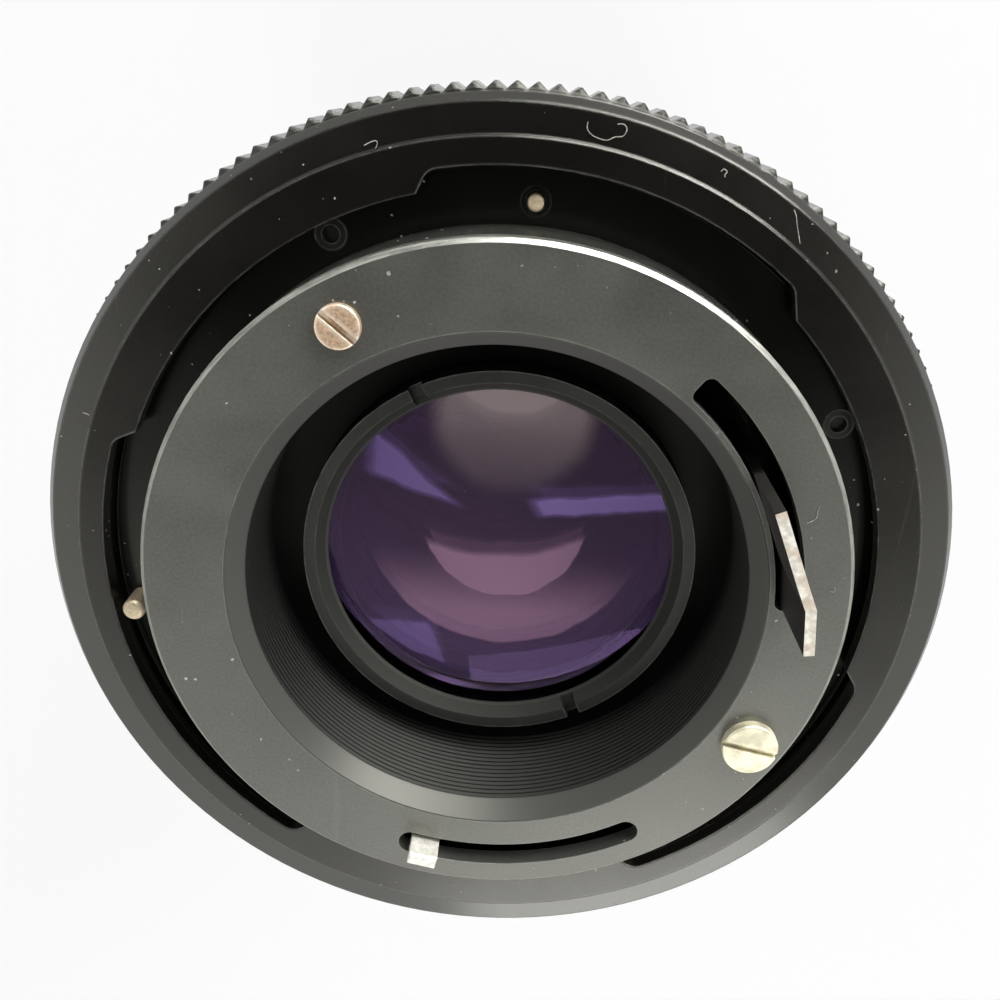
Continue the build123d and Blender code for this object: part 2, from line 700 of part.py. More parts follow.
def helix_slot(angle, start_depth, travel, turn, half_width, r_from, r_to):
    """Cutter for a cam slot: ruled through radial sections along a helix, past both its ends."""
    mean_r = (r_from + r_to) / 2
    sweep = -radians(turn) * mean_r
    lean = atan2(travel, sweep)
    across = (-sin(lean) * half_width, cos(lean) * half_width)
    spare = (half_width + SLOT_END_GAP) / hypot(travel, sweep)
    sections = []
    for i in range(CAM_STEPS + 1):
        part = (1 + 2 * spare) * i / CAM_STEPS - spare
        step_angle = radians(angle - part * turn)
        z = z_at(start_depth) + part * travel
        corners = []
        for r, side in ((r_from, -1), (r_to, -1), (r_to, 1), (r_from, 1)):
            x = r * cos(step_angle) - side * across[0] * sin(step_angle)
            y = r * sin(step_angle) + side * across[0] * cos(step_angle)
            corners.append((x, y, z + side * across[1]))
        sections.append(Wire.make_polygon(corners, close=True))
    return Solid.make_loft(sections, ruled=True)


def guide_slot(angle, start_depth, travel):
    """Straight slot through the main barrel for one roller."""
    half = ROLLER_R + ROLLER_GAP
    top = min(start_depth, start_depth - travel) - half - SLOT_END_GAP
    back = max(start_depth, start_depth - travel) + half + SLOT_END_GAP
    outline = Box(2 * (BARREL_WALL + OVERRUN), 2 * half, back - top)
    middle_r = (barrel_r + barrel_bore_r) / 2
    return Rot(0, 0, angle) * Pos(middle_r, 0, z_at((top + back) / 2)) * outline


def turning_slot(angle, travel, depth, key_r, inner, outer):
    """Slot round the main barrel for a key screw that turns through an angle."""
    margin = degrees((key_r + SLOT_END_GAP) / inner)
    outline = sector(inner - OVERRUN, outer + OVERRUN, angle - margin, angle + travel + margin)
    return slab(outline, depth - key_r - RUN, depth + key_r + RUN)


def main_barrel():
    body = turned([(barrel_bore_r, flange_back), (spigot_r, flange_back), (spigot_r, shoulder_top),
                   (shoulder_r, shoulder_top), (shoulder_r, shoulder_back), (barrel_r, shoulder_back),
                   (barrel_r, barrel_end), (barrel_bore_r, barrel_end), (barrel_bore_r, rib_back),
                   (rib_bore_r, rib_back), (rib_bore_r, rib_top), (rear_bore_r, rib_top),
                   (rear_bore_r, deck_back), (barrel_bore_r, deck_back)])
    screw_r = MOUNT_R + FLANGE_SCREW_OUT
    screw_back = FLANGE_DEPTH + FLANGE_SCREW_HEAD_T + FLANGE_SCREW_LENGTH
    for angle in flange_screw_angles():
        body -= rod_at(FLANGE_SCREW_SHANK_R + SEAT, FLANGE_DEPTH, screw_back, screw_r, angle)
    body -= rod_at(RELEASE_COLLAR_R + RELEASE_POCKET_GAP, flange_back - OVERRUN,
                   release_pocket_back, MOUNT_R + RELEASE_PIN_OUT, RELEASE_PIN_ANGLE)
    for angle in ROLLER_ANGLES:
        body -= guide_slot(angle, COMPENSATOR_DEPTH, COMPENSATOR_TRAVEL)
        body -= guide_slot(angle, variator_depth, VARIATOR_TRAVEL)
    for angle in ZOOM_KEY_ANGLES:
        body -= turning_slot(angle, ZOOM_TURN_ANGLE, zoom_key_depth, KEY_R, barrel_bore_r, barrel_r)
    body -= turning_slot(SIGNAL_ANGLE, SIGNAL_TURN_ANGLE, aperture_key_depth, KEY_R, rear_bore_r,
                         barrel_r)
    body -= click_hole()
    return body


def click_seat_r():
    """Radius of the click ball's centre, pressed in until it clears the ring."""
    return ring_bore_r - CLICK_BALL_GAP - CLICK_BALL_R


def click_hole():
    inner = click_seat_r() - CLICK_BALL_R - CLICK_SPRING_LENGTH
    depth = aperture_top + CLICK_DROP
    return radial_rod(CLICK_BALL_R + SEAT, inner, barrel_r + OVERRUN, CLICK_ANGLE, depth)


def click_ball():
    x, y = polar(click_seat_r(), CLICK_ANGLE)
    return Pos(x, y, z_at(aperture_top + CLICK_DROP)) * Sphere(CLICK_BALL_R)


def click_spring():
    outer = click_seat_r() - CLICK_BALL_R
    inner = outer - CLICK_SPRING_LENGTH
    depth = aperture_top + CLICK_DROP
    spring_r = CLICK_BALL_R - CLICK_SPRING_GAP
    core_r = spring_r - CLICK_SPRING_WIRE
    body = radial_rod(spring_r, inner, outer, CLICK_ANGLE, depth)
    return body - radial_rod(core_r, inner - OVERRUN, outer + OVERRUN, CLICK_ANGLE, depth)


def aperture_ring():
    outer = ring_bore_r + APERTURE_RING_WALL
    body = turned([(ring_bore_r, aperture_top), (outer - RING_CHAMFER, aperture_top),
                   (outer, aperture_top + RING_CHAMFER), (outer, aperture_back - RING_CHAMFER),
                   (outer - RING_CHAMFER, aperture_back), (ring_bore_r, aperture_back)])
    flute = rod(FLUTE_R, aperture_top - OVERRUN, aperture_top + FLUTE_LENGTH,
                outer - FLUTE_DEPTH + FLUTE_R)
    body -= [Rot(0, 0, i * 360 / FLUTE_COUNT) * flute for i in range(FLUTE_COUNT)]
    notch_r = ring_bore_r + CLICK_NOTCH - CLICK_BALL_R
    notch_top = aperture_top + CLICK_DROP - NOTCH_ABOVE
    notch = rod(CLICK_BALL_R, notch_top, aperture_back + OVERRUN, notch_r)
    step = SIGNAL_TURN_ANGLE / (CLICK_STOPS - 1)
    body -= [Rot(0, 0, CLICK_ANGLE - i * step) * notch for i in range(CLICK_STOPS)]
    return body - key_hole(SIGNAL_ANGLE, aperture_key_depth, ring_bore_r - OVERRUN, outer)


def key_hole(angle, depth, inner, outer):
    """Stepped hole for a key screw whose head lies under the ring's outer face."""
    head_r = outer - KEY_SINK - KEY_HEAD_T
    hole = radial_rod(KEY_R + SEAT, inner, outer, angle, depth)
    return hole + radial_rod(KEY_HEAD_R + SEAT, head_r, outer + OVERRUN, angle, depth)


def key_screw(angle, depth, tip_r, outer):
    """Key screw from just under a ring's outer face inwards to its tip."""
    head_r = outer - KEY_SINK - KEY_HEAD_T
    body = radial_rod(KEY_R, tip_r, head_r, angle, depth)
    return body + radial_rod(KEY_HEAD_R, head_r, outer - KEY_SINK, angle, depth)


def aperture_key_screw():
    tip_r = signal_r + SIGNAL_T / 2
    outer = ring_bore_r + APERTURE_RING_WALL
    return key_screw(SIGNAL_ANGLE, aperture_key_depth, tip_r, outer)


def signal_lever():
    inner = signal_r - SIGNAL_T / 2
    outer = rear_bore_r - RUN
    ring_top = deck_back + RUN
    body = tube(outer, inner, ring_top, signal_ring_back)
    root = signal_ring_back - ring_top
    height = ring_top + SIGNAL_RISE + root
    middle = z_at(signal_ring_back - height / 2)
    arm = Pos(signal_r, 0, middle) * Box(SIGNAL_T, SIGNAL_W, height)
    arm = chamfer(arm.edges().group_by(Axis.Z)[-1], PIN_CHAMFER)
    body += Rot(0, 0, SIGNAL_ANGLE) * arm
    return body - radial_rod(KEY_R + SEAT, signal_r + SIGNAL_T / 2, outer + OVERRUN, SIGNAL_ANGLE,
                             aperture_key_depth)


def index_ring():
    outer = barrel_r + INDEX_WALL
    return turned([(barrel_r + SEAT, index_top), (outer - RING_CHAMFER, index_top),
                   (outer, index_top + RING_CHAMFER), (outer, index_back - RING_CHAMFER),
                   (outer - RING_CHAMFER, index_back), (barrel_r + SEAT, index_back)])


def zoom_ring():
    outer = ring_bore_r + ZOOM_WALL
    full = outer + GRIP_T
    body = turned([(ring_bore_r, zoom_top), (full - RING_CHAMFER, zoom_top),
                   (full, zoom_top + RING_CHAMFER), (full, zoom_top + GRIP_MARGIN),
                   (outer, zoom_top + GRIP_MARGIN), (outer, zoom_back - GRIP_MARGIN),
                   (full, zoom_back - GRIP_MARGIN), (full, zoom_back - RING_CHAMFER),
                   (full - RING_CHAMFER, zoom_back), (ring_bore_r, zoom_back)])
    for angle in ZOOM_KEY_ANGLES:
        body -= key_hole(angle, zoom_key_depth, ring_bore_r - OVERRUN, outer)
    return body


def ribbed_sleeve(outer, inner, top, back):
    """Rubber sleeve: ribs along the lens between two plain end bands."""
    pitch = 360 / GRIP_RIBS
    root_r = outer - GRIP_GROOVE
    points = []
    for i in range(GRIP_RIBS):
        start, end = i * pitch, (i + GRIP_LAND) * pitch
        points += [polar(root_r, start), polar(outer, start), polar(outer, end), polar(root_r, end)]
    ribs = slab(make_face(Polyline(*points, close=True)), top, back)
    ends = tube(outer, root_r, top, top + GRIP_END_BAND)
    ends += tube(outer, root_r, back - GRIP_END_BAND, back)
    return ribs + ends - rod(inner, top - OVERRUN, back + OVERRUN)


def zoom_grip():
    outer = ring_bore_r + ZOOM_WALL
    return ribbed_sleeve(outer + GRIP_T, outer, zoom_top + GRIP_MARGIN, zoom_back - GRIP_MARGIN)


def zoom_key_screws():
    outer = ring_bore_r + ZOOM_WALL
    tip_r = cam_bore_r + ZOOM_KEY_TIP_GAP
    return [key_screw(angle, zoom_key_depth, tip_r, outer) for angle in ZOOM_KEY_ANGLES]


def cam_tube():
    body = tube(cam_r, cam_bore_r, cam_top, cam_back)
    for angle in ZOOM_KEY_ANGLES:
        body -= radial_rod(KEY_R + SEAT, cam_bore_r - OVERRUN, cam_r + OVERRUN, angle,
                           zoom_key_depth)
    half = ROLLER_R + ROLLER_GAP
    for angle in ROLLER_ANGLES:
        for depth, travel in ((COMPENSATOR_DEPTH, COMPENSATOR_TRAVEL),
                              (variator_depth, VARIATOR_TRAVEL)):
            body -= helix_slot(angle, depth, travel, ZOOM_TURN_ANGLE, half, cam_bore_r - OVERRUN,
                               cam_r + OVERRUN)
    return body


def cam_retaining_ring():
    outer = barrel_bore_r - SEAT
    return tube(outer, outer - CAM_RETAINER_STEP, cam_retainer_top,
                cam_retainer_top + CAM_RETAINER_T)


# Moving optical cells


def moving_cell(depth):
    """Cell of a moving group: a ring with a lip for the glass and sockets for its rollers."""
    top, back = depth - CELL_HALF, depth + CELL_HALF
    bore = cell_r - CELL_RIM
    body = turned([(bore, top), (cell_r, top), (cell_r, back), (bore - CELL_LIP, back),
                   (bore - CELL_LIP, back - CELL_LIP_T), (bore, back - CELL_LIP_T)])
    for angle in ROLLER_ANGLES:
        body -= radial_rod(ROLLER_R + SEAT, cell_r - ROLLER_SOCKET, cell_r + OVERRUN, angle, depth)
    return body


def moving_glass(depth, sag):
    """Glass of a moving group, between the cell's lip and its lock ring."""
    top = depth - CELL_HALF + LOCK_RING_T
    back = depth + CELL_HALF - CELL_LIP_T
    return glass(cell_r - CELL_RIM - SEAT, CELL_LIP, top, back, sag, -sag)


def moving_lock_ring(depth):
    """Threaded ring that holds the glass in its cell."""
    outer = cell_r - CELL_RIM - SEAT
    top = depth - CELL_HALF
    return tube(outer, outer - CELL_LIP, top, top + LOCK_RING_T)


def rollers(depth):
    """Three rollers that cross the cam slots into the barrel's straight slots."""
    inner, outer = cell_r - ROLLER_SOCKET, barrel_r - ROLLER_END_GAP
    return [radial_rod(ROLLER_R, inner, outer, angle, depth) for angle in ROLLER_ANGLES]


# Rear group and iris


def iris_cover():
    """Deck behind the iris, with a rim under the flange and a hub for the rear cell."""
    outer = barrel_bore_r - SEAT
    body = turned([(rear_cell_r + SEAT, deck_top), (outer - SIGNAL_T, deck_top),
                   (outer - SIGNAL_T, flange_back), (outer, flange_back), (outer, deck_back),
                   (hub_r, deck_back), (hub_r, clip_top), (hub_r - CLIP_GROOVE, clip_top),
                   (hub_r - CLIP_GROOVE, clip_top + CLIP_T), (hub_r, clip_top + CLIP_T),
                   (hub_r, hub_back), (rear_cell_r + SEAT, hub_back)])
    body -= lever_slot(deck_top - OVERRUN, deck_back + OVERRUN, RUN / 2)
    body -= signal_slot(deck_top - OVERRUN, deck_back + OVERRUN)
    return body


def lever_retaining_clip():
    inner = hub_r - CLIP_GROOVE
    body = tube(inner + CLIP_W, inner, clip_top, clip_top + CLIP_T)
    return body - ring_opening(inner, inner + CLIP_W, CLIP_ANGLE, CLIP_OPENING_ANGLE, clip_top,
                               clip_top + CLIP_T)


def aperture_lever():
    """Lever strip, its ring round the hub and the link down to the iris rotor."""
    radii = (lever_r, lever_r, lever_tail_r, lever_tail_r)
    line = [polar(r, angle) for r, angle in zip(radii, LEVER_ANGLES)]
    body = tube(lever_ring_r, hub_r + RUN, lever_ring_top, lever_ring_back)
    body += slab(strip(line, LEVER_T), -LEVER_RISE, lever_ring_back)
    link_r = lever_ring_r - LEVER_RING_MARGIN - LEVER_LINK_T / 2
    length = rotor_top - lever_ring_top
    link = Pos(link_r, 0, z_at(lever_ring_top + length / 2)) * Box(LEVER_LINK_T, LEVER_LINK_W, length)
    return body + Rot(0, 0, LEVER_LINK_ANGLE) * link


def drive_pin_place(turn):
    """Centre of a blade's drive pin, for the blade whose pivot lies on the X axis."""
    return (pivot_r + DRIVE_ARM * sin(radians(turn)), -DRIVE_ARM * cos(radians(turn)))


def rotor_slot():
    """Cam slot in the rotor: the path of the drive pin as the rotor sees it."""
    path = []
    for i in range(SLOT_STEPS + 1):
        lever = LEVER_TURN_ANGLE * i / SLOT_STEPS
        x, y = drive_pin_place(lever * BLADE_RATIO)
        path.append(polar(hypot(x, y), degrees(atan2(y, x)) - lever))
    width = 2 * (DRIVE_PIN_R + PIN_GAP)
    top, back = rotor_top - OVERRUN, rotor_back + OVERRUN
    body = slab(strip(path, width), top, back)
    for x, y in (path[0], path[-1]):
        body += rod(width / 2, top, back, x, y)
    return body


def iris_rotor():
    body = tube(rotor_r, iris_hole_r + ROTOR_HOLE_GAP, rotor_top, rotor_back)
    slot = rotor_slot()
    body -= [Rot(0, 0, i * 360 / IRIS_BLADES) * slot for i in range(IRIS_BLADES)]
    return body


def iris_carrier():
    body = turned([(carrier_bore_r, carrier_top), (carrier_r, carrier_top), (carrier_r, rib_top),
                   (iris_hole_r, rib_top), (iris_hole_r, carrier_base),
                   (carrier_bore_r, carrier_base),
                   (carrier_bore_r, rotor_ring_top + ROTOR_RING_T),
                   (carrier_bore_r + ROTOR_RING_GROOVE, rotor_ring_top + ROTOR_RING_T),
                   (carrier_bore_r + ROTOR_RING_GROOVE, rotor_ring_top),
                   (carrier_bore_r, rotor_ring_top)])
    hole = rod(PIVOT_PIN_R + PIN_GAP, carrier_base - OVERRUN, rib_top - PIVOT_FLOOR, pivot_r)
    body -= [Rot(0, 0, i * 360 / IRIS_BLADES) * hole for i in range(IRIS_BLADES)]
    return body


def rotor_retaining_ring():
    outer = carrier_bore_r + ROTOR_RING_GROOVE - SEAT
    inner = carrier_bore_r - ROTOR_RING_W
    body = tube(outer, inner, rotor_ring_top, rotor_ring_top + ROTOR_RING_T)
    return body - ring_opening(inner, outer, ROTOR_RING_ANGLE, ROTOR_RING_OPENING_ANGLE,
                               rotor_ring_top, rotor_ring_top + ROTOR_RING_T)


def iris_blade(index):
    """Iris blade on its own level, with a pivot pin down and a drive pin up."""
    top = blades_top + index * BLADE_PITCH
    drive = drive_pin_place(0)
    outline = sector(blade_in_r, blade_out_r, BLADE_START_ANGLE, BLADE_END_ANGLE)
    outline = fillet(outline.vertices(), BLADE_CORNER)
    outline += Pos(pivot_r, 0) * Circle(BLADE_EAR_R)
    outline += Pos(*drive) * Circle(BLADE_EAR_R)
    outline += Pos(pivot_r, drive[1] / 2) * Rectangle(2 * BLADE_EAR_R, DRIVE_ARM)
    outline += Pos(pivot_r - BLADE_STEP, 0) * Rectangle(2 * BLADE_STEP, 2 * BLADE_EAR_R)
    body = slab(outline, top, top + BLADE_T)
    body += rod(PIVOT_PIN_R, top, rib_top - PIVOT_FLOOR - END_PLAY, pivot_r)
    body += rod(DRIVE_PIN_R, rotor_top + DRIVE_PIN_SHORT, top + BLADE_T, *drive)
    return Rot(0, 0, index * 360 / IRIS_BLADES) * body


def rear_cell():
    """Turned cell that holds both rear elements and screws into the hub."""
    top = CELL_TOP_DEPTH + RETAINER_FLANGE
    thread_r = rear_cell_r - CELL_WALL
    glass_r = rear_glass_r + SEAT
    seat = top + REAR_GLASS_T
    web_r = glass_r - CELL_WEB_REACH
    inner_r = inner_glass_r + SEAT
    back = hub_back + CELL_SHOULDER_T
    return turned([(thread_r, top), (rear_cell_r, top), (rear_cell_r, hub_back),
                   (rear_cell_r + CELL_SHOULDER, hub_back), (rear_cell_r + CELL_SHOULDER, back),
                   (inner_r, back), (inner_r, seat + CELL_WEB), (web_r, seat + CELL_WEB),
                   (web_r, seat), (glass_r, seat), (glass_r, top + RETAINER_SKIRT + RUN),
                   (thread_r, top + RETAINER_SKIRT + RUN)])


def rear_retaining_ring():
    """Ring that holds the rear glass, with a cone inside and two spanner notches."""
    top = CELL_TOP_DEPTH
    back = top + RETAINER_FLANGE
    thread_r = rear_cell_r - CELL_WALL - SEAT
    skirt_in = rear_glass_r + SEAT
    body = turned([(retainer_in_r + RETAINER_CONE, top), (rear_cell_r, top), (rear_cell_r, back),
                   (thread_r, back), (thread_r, back + RETAINER_SKIRT),
                   (skirt_in, back + RETAINER_SKIRT), (skirt_in, back), (retainer_in_r, back)])
    notch = Box(2 * (rear_cell_r + OVERRUN), SPANNER_W, 2 * SPANNER_DEPTH)
    return body - Pos(0, 0, z_at(top)) * Rot(0, 0, SPANNER_ANGLE) * notch


def rear_element():
    top = CELL_TOP_DEPTH + RETAINER_FLANGE
    rim = rear_glass_r - retainer_in_r
    return glass(rear_glass_r, rim, top, top + REAR_GLASS_T, REAR_GLASS_SAG, REAR_GLASS_SAG / 2)


def rear_inner_element():
    top = CELL_TOP_DEPTH + RETAINER_FLANGE + REAR_GLASS_T + CELL_WEB
    return glass(inner_glass_r, INNER_RING_W, top, top + INNER_GLASS_T, INNER_GLASS_SAG,
                 -INNER_GLASS_SAG)


def rear_inner_ring():
    top = CELL_TOP_DEPTH + RETAINER_FLANGE + REAR_GLASS_T + CELL_WEB + INNER_GLASS_T
    return tube(inner_glass_r, inner_glass_r - INNER_RING_W, top, top + INNER_RING_T)


# Focus ring, front barrel and front group


def focus_index_ring():
    outer = barrel_r + INDEX_WALL
    return turned([(barrel_r + SEAT, focus_index_top), (outer - RING_CHAMFER, focus_index_top),
                   (outer, focus_index_top + RING_CHAMFER),
                   (outer, focus_index_back - RING_CHAMFER),
                   (outer - RING_CHAMFER, focus_index_back), (neck_r, focus_index_back),
                   (neck_r, neck_back), (barrel_r + SEAT, neck_back)])


def focus_clamp_ring():
    return tube(clamp_r, barrel_r + SEAT, neck_back, clamp_back)


def focus_ring():
    lip_r = neck_r + RUN
    clamp_bore = clamp_r + RUN
    thread_top = clamp_back + END_PLAY
    outer = focus_bore_r + FOCUS_WALL
    full = outer + FOCUS_GRIP_T
    grip_top, grip_back = focus_top + FOCUS_GRIP_START, focus_back - FOCUS_GRIP_END
    return turned([(lip_r, focus_top), (full - RING_CHAMFER, focus_top),
                   (full, focus_top + RING_CHAMFER), (full, grip_top), (outer, grip_top),
                   (outer, grip_back), (full, grip_back), (full, focus_back - RING_CHAMFER),
                   (full - RING_CHAMFER, focus_back), (focus_bore_r, focus_back),
                   (focus_bore_r, thread_top), (clamp_bore, thread_top),
                   (clamp_bore, focus_top + LIP_T), (lip_r, focus_top + LIP_T)])


def focus_grip():
    outer = focus_bore_r + FOCUS_WALL
    return ribbed_sleeve(outer + FOCUS_GRIP_T, outer, focus_top + FOCUS_GRIP_START,
                         focus_back - FOCUS_GRIP_END)


def focus_keys():
    """Blocks on the main barrel that keep the front barrel from turning."""
    inner, outer = barrel_r - FOCUS_KEY_SEAT, front_tube_r - FOCUS_KEY_TOP_GAP
    block = Box(outer - inner, FOCUS_KEY_W, FOCUS_KEY_LENGTH)
    key = Pos((inner + outer) / 2, 0, z_at(focus_key_depth)) * block
    return [Rot(0, 0, angle) * key for angle in FOCUS_KEY_ANGLES]


def focus_key_seats():
    """Pockets in the main barrel that the keys sit in."""
    block = Box(2 * FOCUS_KEY_SEAT, FOCUS_KEY_W + 2 * SEAT, FOCUS_KEY_LENGTH + 2 * SEAT)
    seat = Pos(barrel_r, 0, z_at(focus_key_depth)) * block
    return [Rot(0, 0, angle) * seat for angle in FOCUS_KEY_ANGLES]


def front_barrel():
    body = turned([(ring_bore_r, front_tube_top), (front_tube_r, front_tube_top),
                   (front_tube_r, flare_top), (front_r - RING_CHAMFER, flare_top),
                   (front_r, flare_top + RING_CHAMFER), (front_r, LENS_LENGTH - FRONT_RIM_CHAMFER),
                   (front_r - FRONT_RIM_CHAMFER, LENS_LENGTH), (filter_r, LENS_LENGTH),
                   (filter_r, filter_top), (front_bore_r, filter_top),
                   (front_bore_r, front_cell_top), (front_bore_r - FRONT_WEB_REACH, front_cell_top),
                   (front_bore_r - FRONT_WEB_REACH, front_web_top), (ring_bore_r, front_web_top)])
    half = FOCUS_KEY_LENGTH / 2 + SLOT_END_GAP
    top, back = focus_key_depth - half - FOCUS_TRAVEL, focus_key_depth + half
    cut = Box(2 * (FRONT_TUBE_WALL + OVERRUN), FOCUS_KEY_W + 2 * RUN, back - top)
    slot = Pos((ring_bore_r + front_tube_r) / 2, 0, z_at((top + back) / 2)) * cut
    return body - [Rot(0, 0, angle) * slot for angle in FOCUS_KEY_ANGLES]


def front_cell():
    outer = front_bore_r - SEAT
    glass_top = front_ring_top - FRONT_GLASS_T
    web_top = glass_top - FRONT_WEB_GLASS
    inner_r = front_inner_r + SEAT
    web_r = inner_r - FRONT_LOCK_W
    return turned([(inner_r, front_cell_top), (outer, front_cell_top), (outer, front_ring_top),
                   (front_glass_r + SEAT, front_ring_top), (front_glass_r + SEAT, glass_top),
                   (web_r, glass_top), (web_r, web_top), (inner_r, web_top)])


def front_ring():
    """Blank ring round the front glass."""
    outer, inner = front_bore_r - SEAT, front_ring_in_r
    return turned([(inner, front_ring_top), (outer, front_ring_top), (outer, front_ring_back),
                   (inner + FRONT_RING_BEVEL_W, front_ring_back),
                   (inner, front_ring_back - FRONT_RING_BEVEL_T)])


def front_element():
    rim = front_glass_r - front_ring_in_r
    top = front_ring_top - FRONT_GLASS_T
    return glass(front_glass_r, rim, top, front_ring_top, FRONT_GLASS_BACK_SAG, -FRONT_GLASS_SAG)


def front_inner_element():
    back = front_ring_top - FRONT_GLASS_T - FRONT_WEB_GLASS
    top = front_cell_top + FRONT_LOCK_T
    return glass(front_inner_r, FRONT_LOCK_W, top, back, FRONT_INNER_SAG, FRONT_INNER_SAG)


def front_inner_ring():
    outer = front_inner_r
    return tube(outer, outer - FRONT_LOCK_W, front_cell_top, front_cell_top + FRONT_LOCK_T)


def nodes():
    """Every sub-part by the name of its node."""
    barrel = main_barrel()
    for seat in focus_key_seats():
        barrel -= seat
    parts = {
        "main_barrel": barrel,
        "mount_base": mount_base(),
        "rear_plate": rear_plate(),
        "plate_screws": plate_screws(),
        "flange_screws": flange_screws(),
        "light_baffle": light_baffle(),
        "ring_stop_pin": stop_pin(),
        "release_pin_bush": release_bush(),
        "release_pin": release_pin(),
        "release_pin_spring": release_spring(),
        "breech_ring": breech_ring(),
        "iris_cover": iris_cover(),
        "lever_retaining_clip": lever_retaining_clip(),
        "aperture_lever": aperture_lever(),
        "iris_rotor": iris_rotor(),
        "rotor_retaining_ring": rotor_retaining_ring(),
        "iris_carrier": iris_carrier(),
        "rear_cell": rear_cell(),
        "rear_retaining_ring": rear_retaining_ring(),
        "rear_element": rear_element(),
        "rear_inner_element": rear_inner_element(),
        "rear_inner_ring": rear_inner_ring(),
        "aperture_ring": aperture_ring(),
        "aperture_key_screw": aperture_key_screw(),
        "signal_lever": signal_lever(),
        "click_ball": click_ball(),
        "click_spring": click_spring(),
        "index_ring": index_ring(),
        "zoom_ring": zoom_ring(),
        "zoom_grip": zoom_grip(),
        "zoom_key_screws": zoom_key_screws(),
        "cam_tube": cam_tube(),
        "cam_retaining_ring": cam_retaining_ring(),
        "focus_index_ring": focus_index_ring(),
        "focus_clamp_ring": focus_clamp_ring(),
        "focus_ring": focus_ring(),
        "focus_grip": focus_grip(),
        "focus_keys": focus_keys(),
        "front_barrel": front_barrel(),
        "front_cell": front_cell(),
        "front_ring": front_ring(),
        "front_element": front_element(),
        "front_inner_element": front_inner_element(),
        "front_inner_ring": front_inner_ring(),
    }
    for index in range(IRIS_BLADES):
        parts[f"iris_blade_{index + 1}"] = iris_blade(index)
    for name, depth, sag in (("compensator", COMPENSATOR_DEPTH, COMPENSATOR_SAG),
                             ("variator", variator_depth, VARIATOR_SAG)):
        parts[f"{name}_cell"] = moving_cell(depth)
        parts[f"{name}_lens"] = moving_glass(depth, sag)
        parts[f"{name}_lock_ring"] = moving_lock_ring(depth)
        parts[f"{name}_rollers"] = rollers(depth)
    return parts


os.makedirs("parts", exist_ok=True)
for node_name, shape in nodes().items():
    solids = shape if isinstance(shape, list) else [shape]
    solids = [solid for item in solids for solid in item.solids()]
    export_step(Compound(children=solids) if len(solids) > 1 else solids[0],
                f"parts/{node_name}.step")
    print(node_name, len(solids), round(sum(solid.volume for solid in solids), 3))
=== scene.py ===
"""Dresses the telephoto zoom lens: baffle, grips, thread, scales, lint, finishes and stage."""

import math

import bmesh
import bpy
from bpy.props import FloatProperty, FloatVectorProperty, IntProperty, PointerProperty
from mathutils import Euler, Matrix, Vector


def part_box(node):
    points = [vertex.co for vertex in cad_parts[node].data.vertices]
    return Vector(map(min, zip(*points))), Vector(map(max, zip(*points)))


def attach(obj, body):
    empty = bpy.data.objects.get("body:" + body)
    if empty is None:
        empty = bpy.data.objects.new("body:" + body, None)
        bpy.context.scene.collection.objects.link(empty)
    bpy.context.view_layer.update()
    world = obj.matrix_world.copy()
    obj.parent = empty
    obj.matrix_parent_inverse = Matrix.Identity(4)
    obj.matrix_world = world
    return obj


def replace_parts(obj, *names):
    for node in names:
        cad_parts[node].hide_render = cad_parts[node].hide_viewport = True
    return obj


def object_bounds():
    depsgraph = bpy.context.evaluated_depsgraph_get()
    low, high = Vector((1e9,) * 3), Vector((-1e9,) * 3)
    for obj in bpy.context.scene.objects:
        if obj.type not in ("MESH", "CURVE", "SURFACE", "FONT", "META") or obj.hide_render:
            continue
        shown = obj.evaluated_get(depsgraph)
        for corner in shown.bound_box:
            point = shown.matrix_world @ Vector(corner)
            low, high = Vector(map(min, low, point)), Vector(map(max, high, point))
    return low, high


bl_info = {
    "name": "Zoom Lens Dressing",
    "version": (1, 0, 0),
    "blender": (4, 5, 0),
    "location": "View3D > Sidebar > Zoom Lens",
    "description": "Finishes, grips, scales, threads and a stage for the telephoto zoom lens",
    "category": "Object",
}

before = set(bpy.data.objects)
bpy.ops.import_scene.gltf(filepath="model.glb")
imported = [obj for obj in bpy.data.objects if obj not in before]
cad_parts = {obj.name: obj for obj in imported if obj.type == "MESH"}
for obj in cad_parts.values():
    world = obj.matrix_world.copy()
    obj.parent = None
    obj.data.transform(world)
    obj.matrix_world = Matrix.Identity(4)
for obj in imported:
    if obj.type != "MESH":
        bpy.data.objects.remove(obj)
cad_box = [list(corner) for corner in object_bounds()]

MM = 0.001
SPIN_STEPS = 192
TOP_OF_LENS = 90.0
LENS_TOP = cad_box[1][2]
PLATE_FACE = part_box("rear_plate")[1].z


def radius_of(node):
    """Outer radius of a turned CAD node."""
    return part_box(node)[1].x


def z_range(node):
    """Lowest and highest z of a CAD node."""
    low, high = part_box(node)
    return low.z, high.z


# Sizes and colours that a user would change


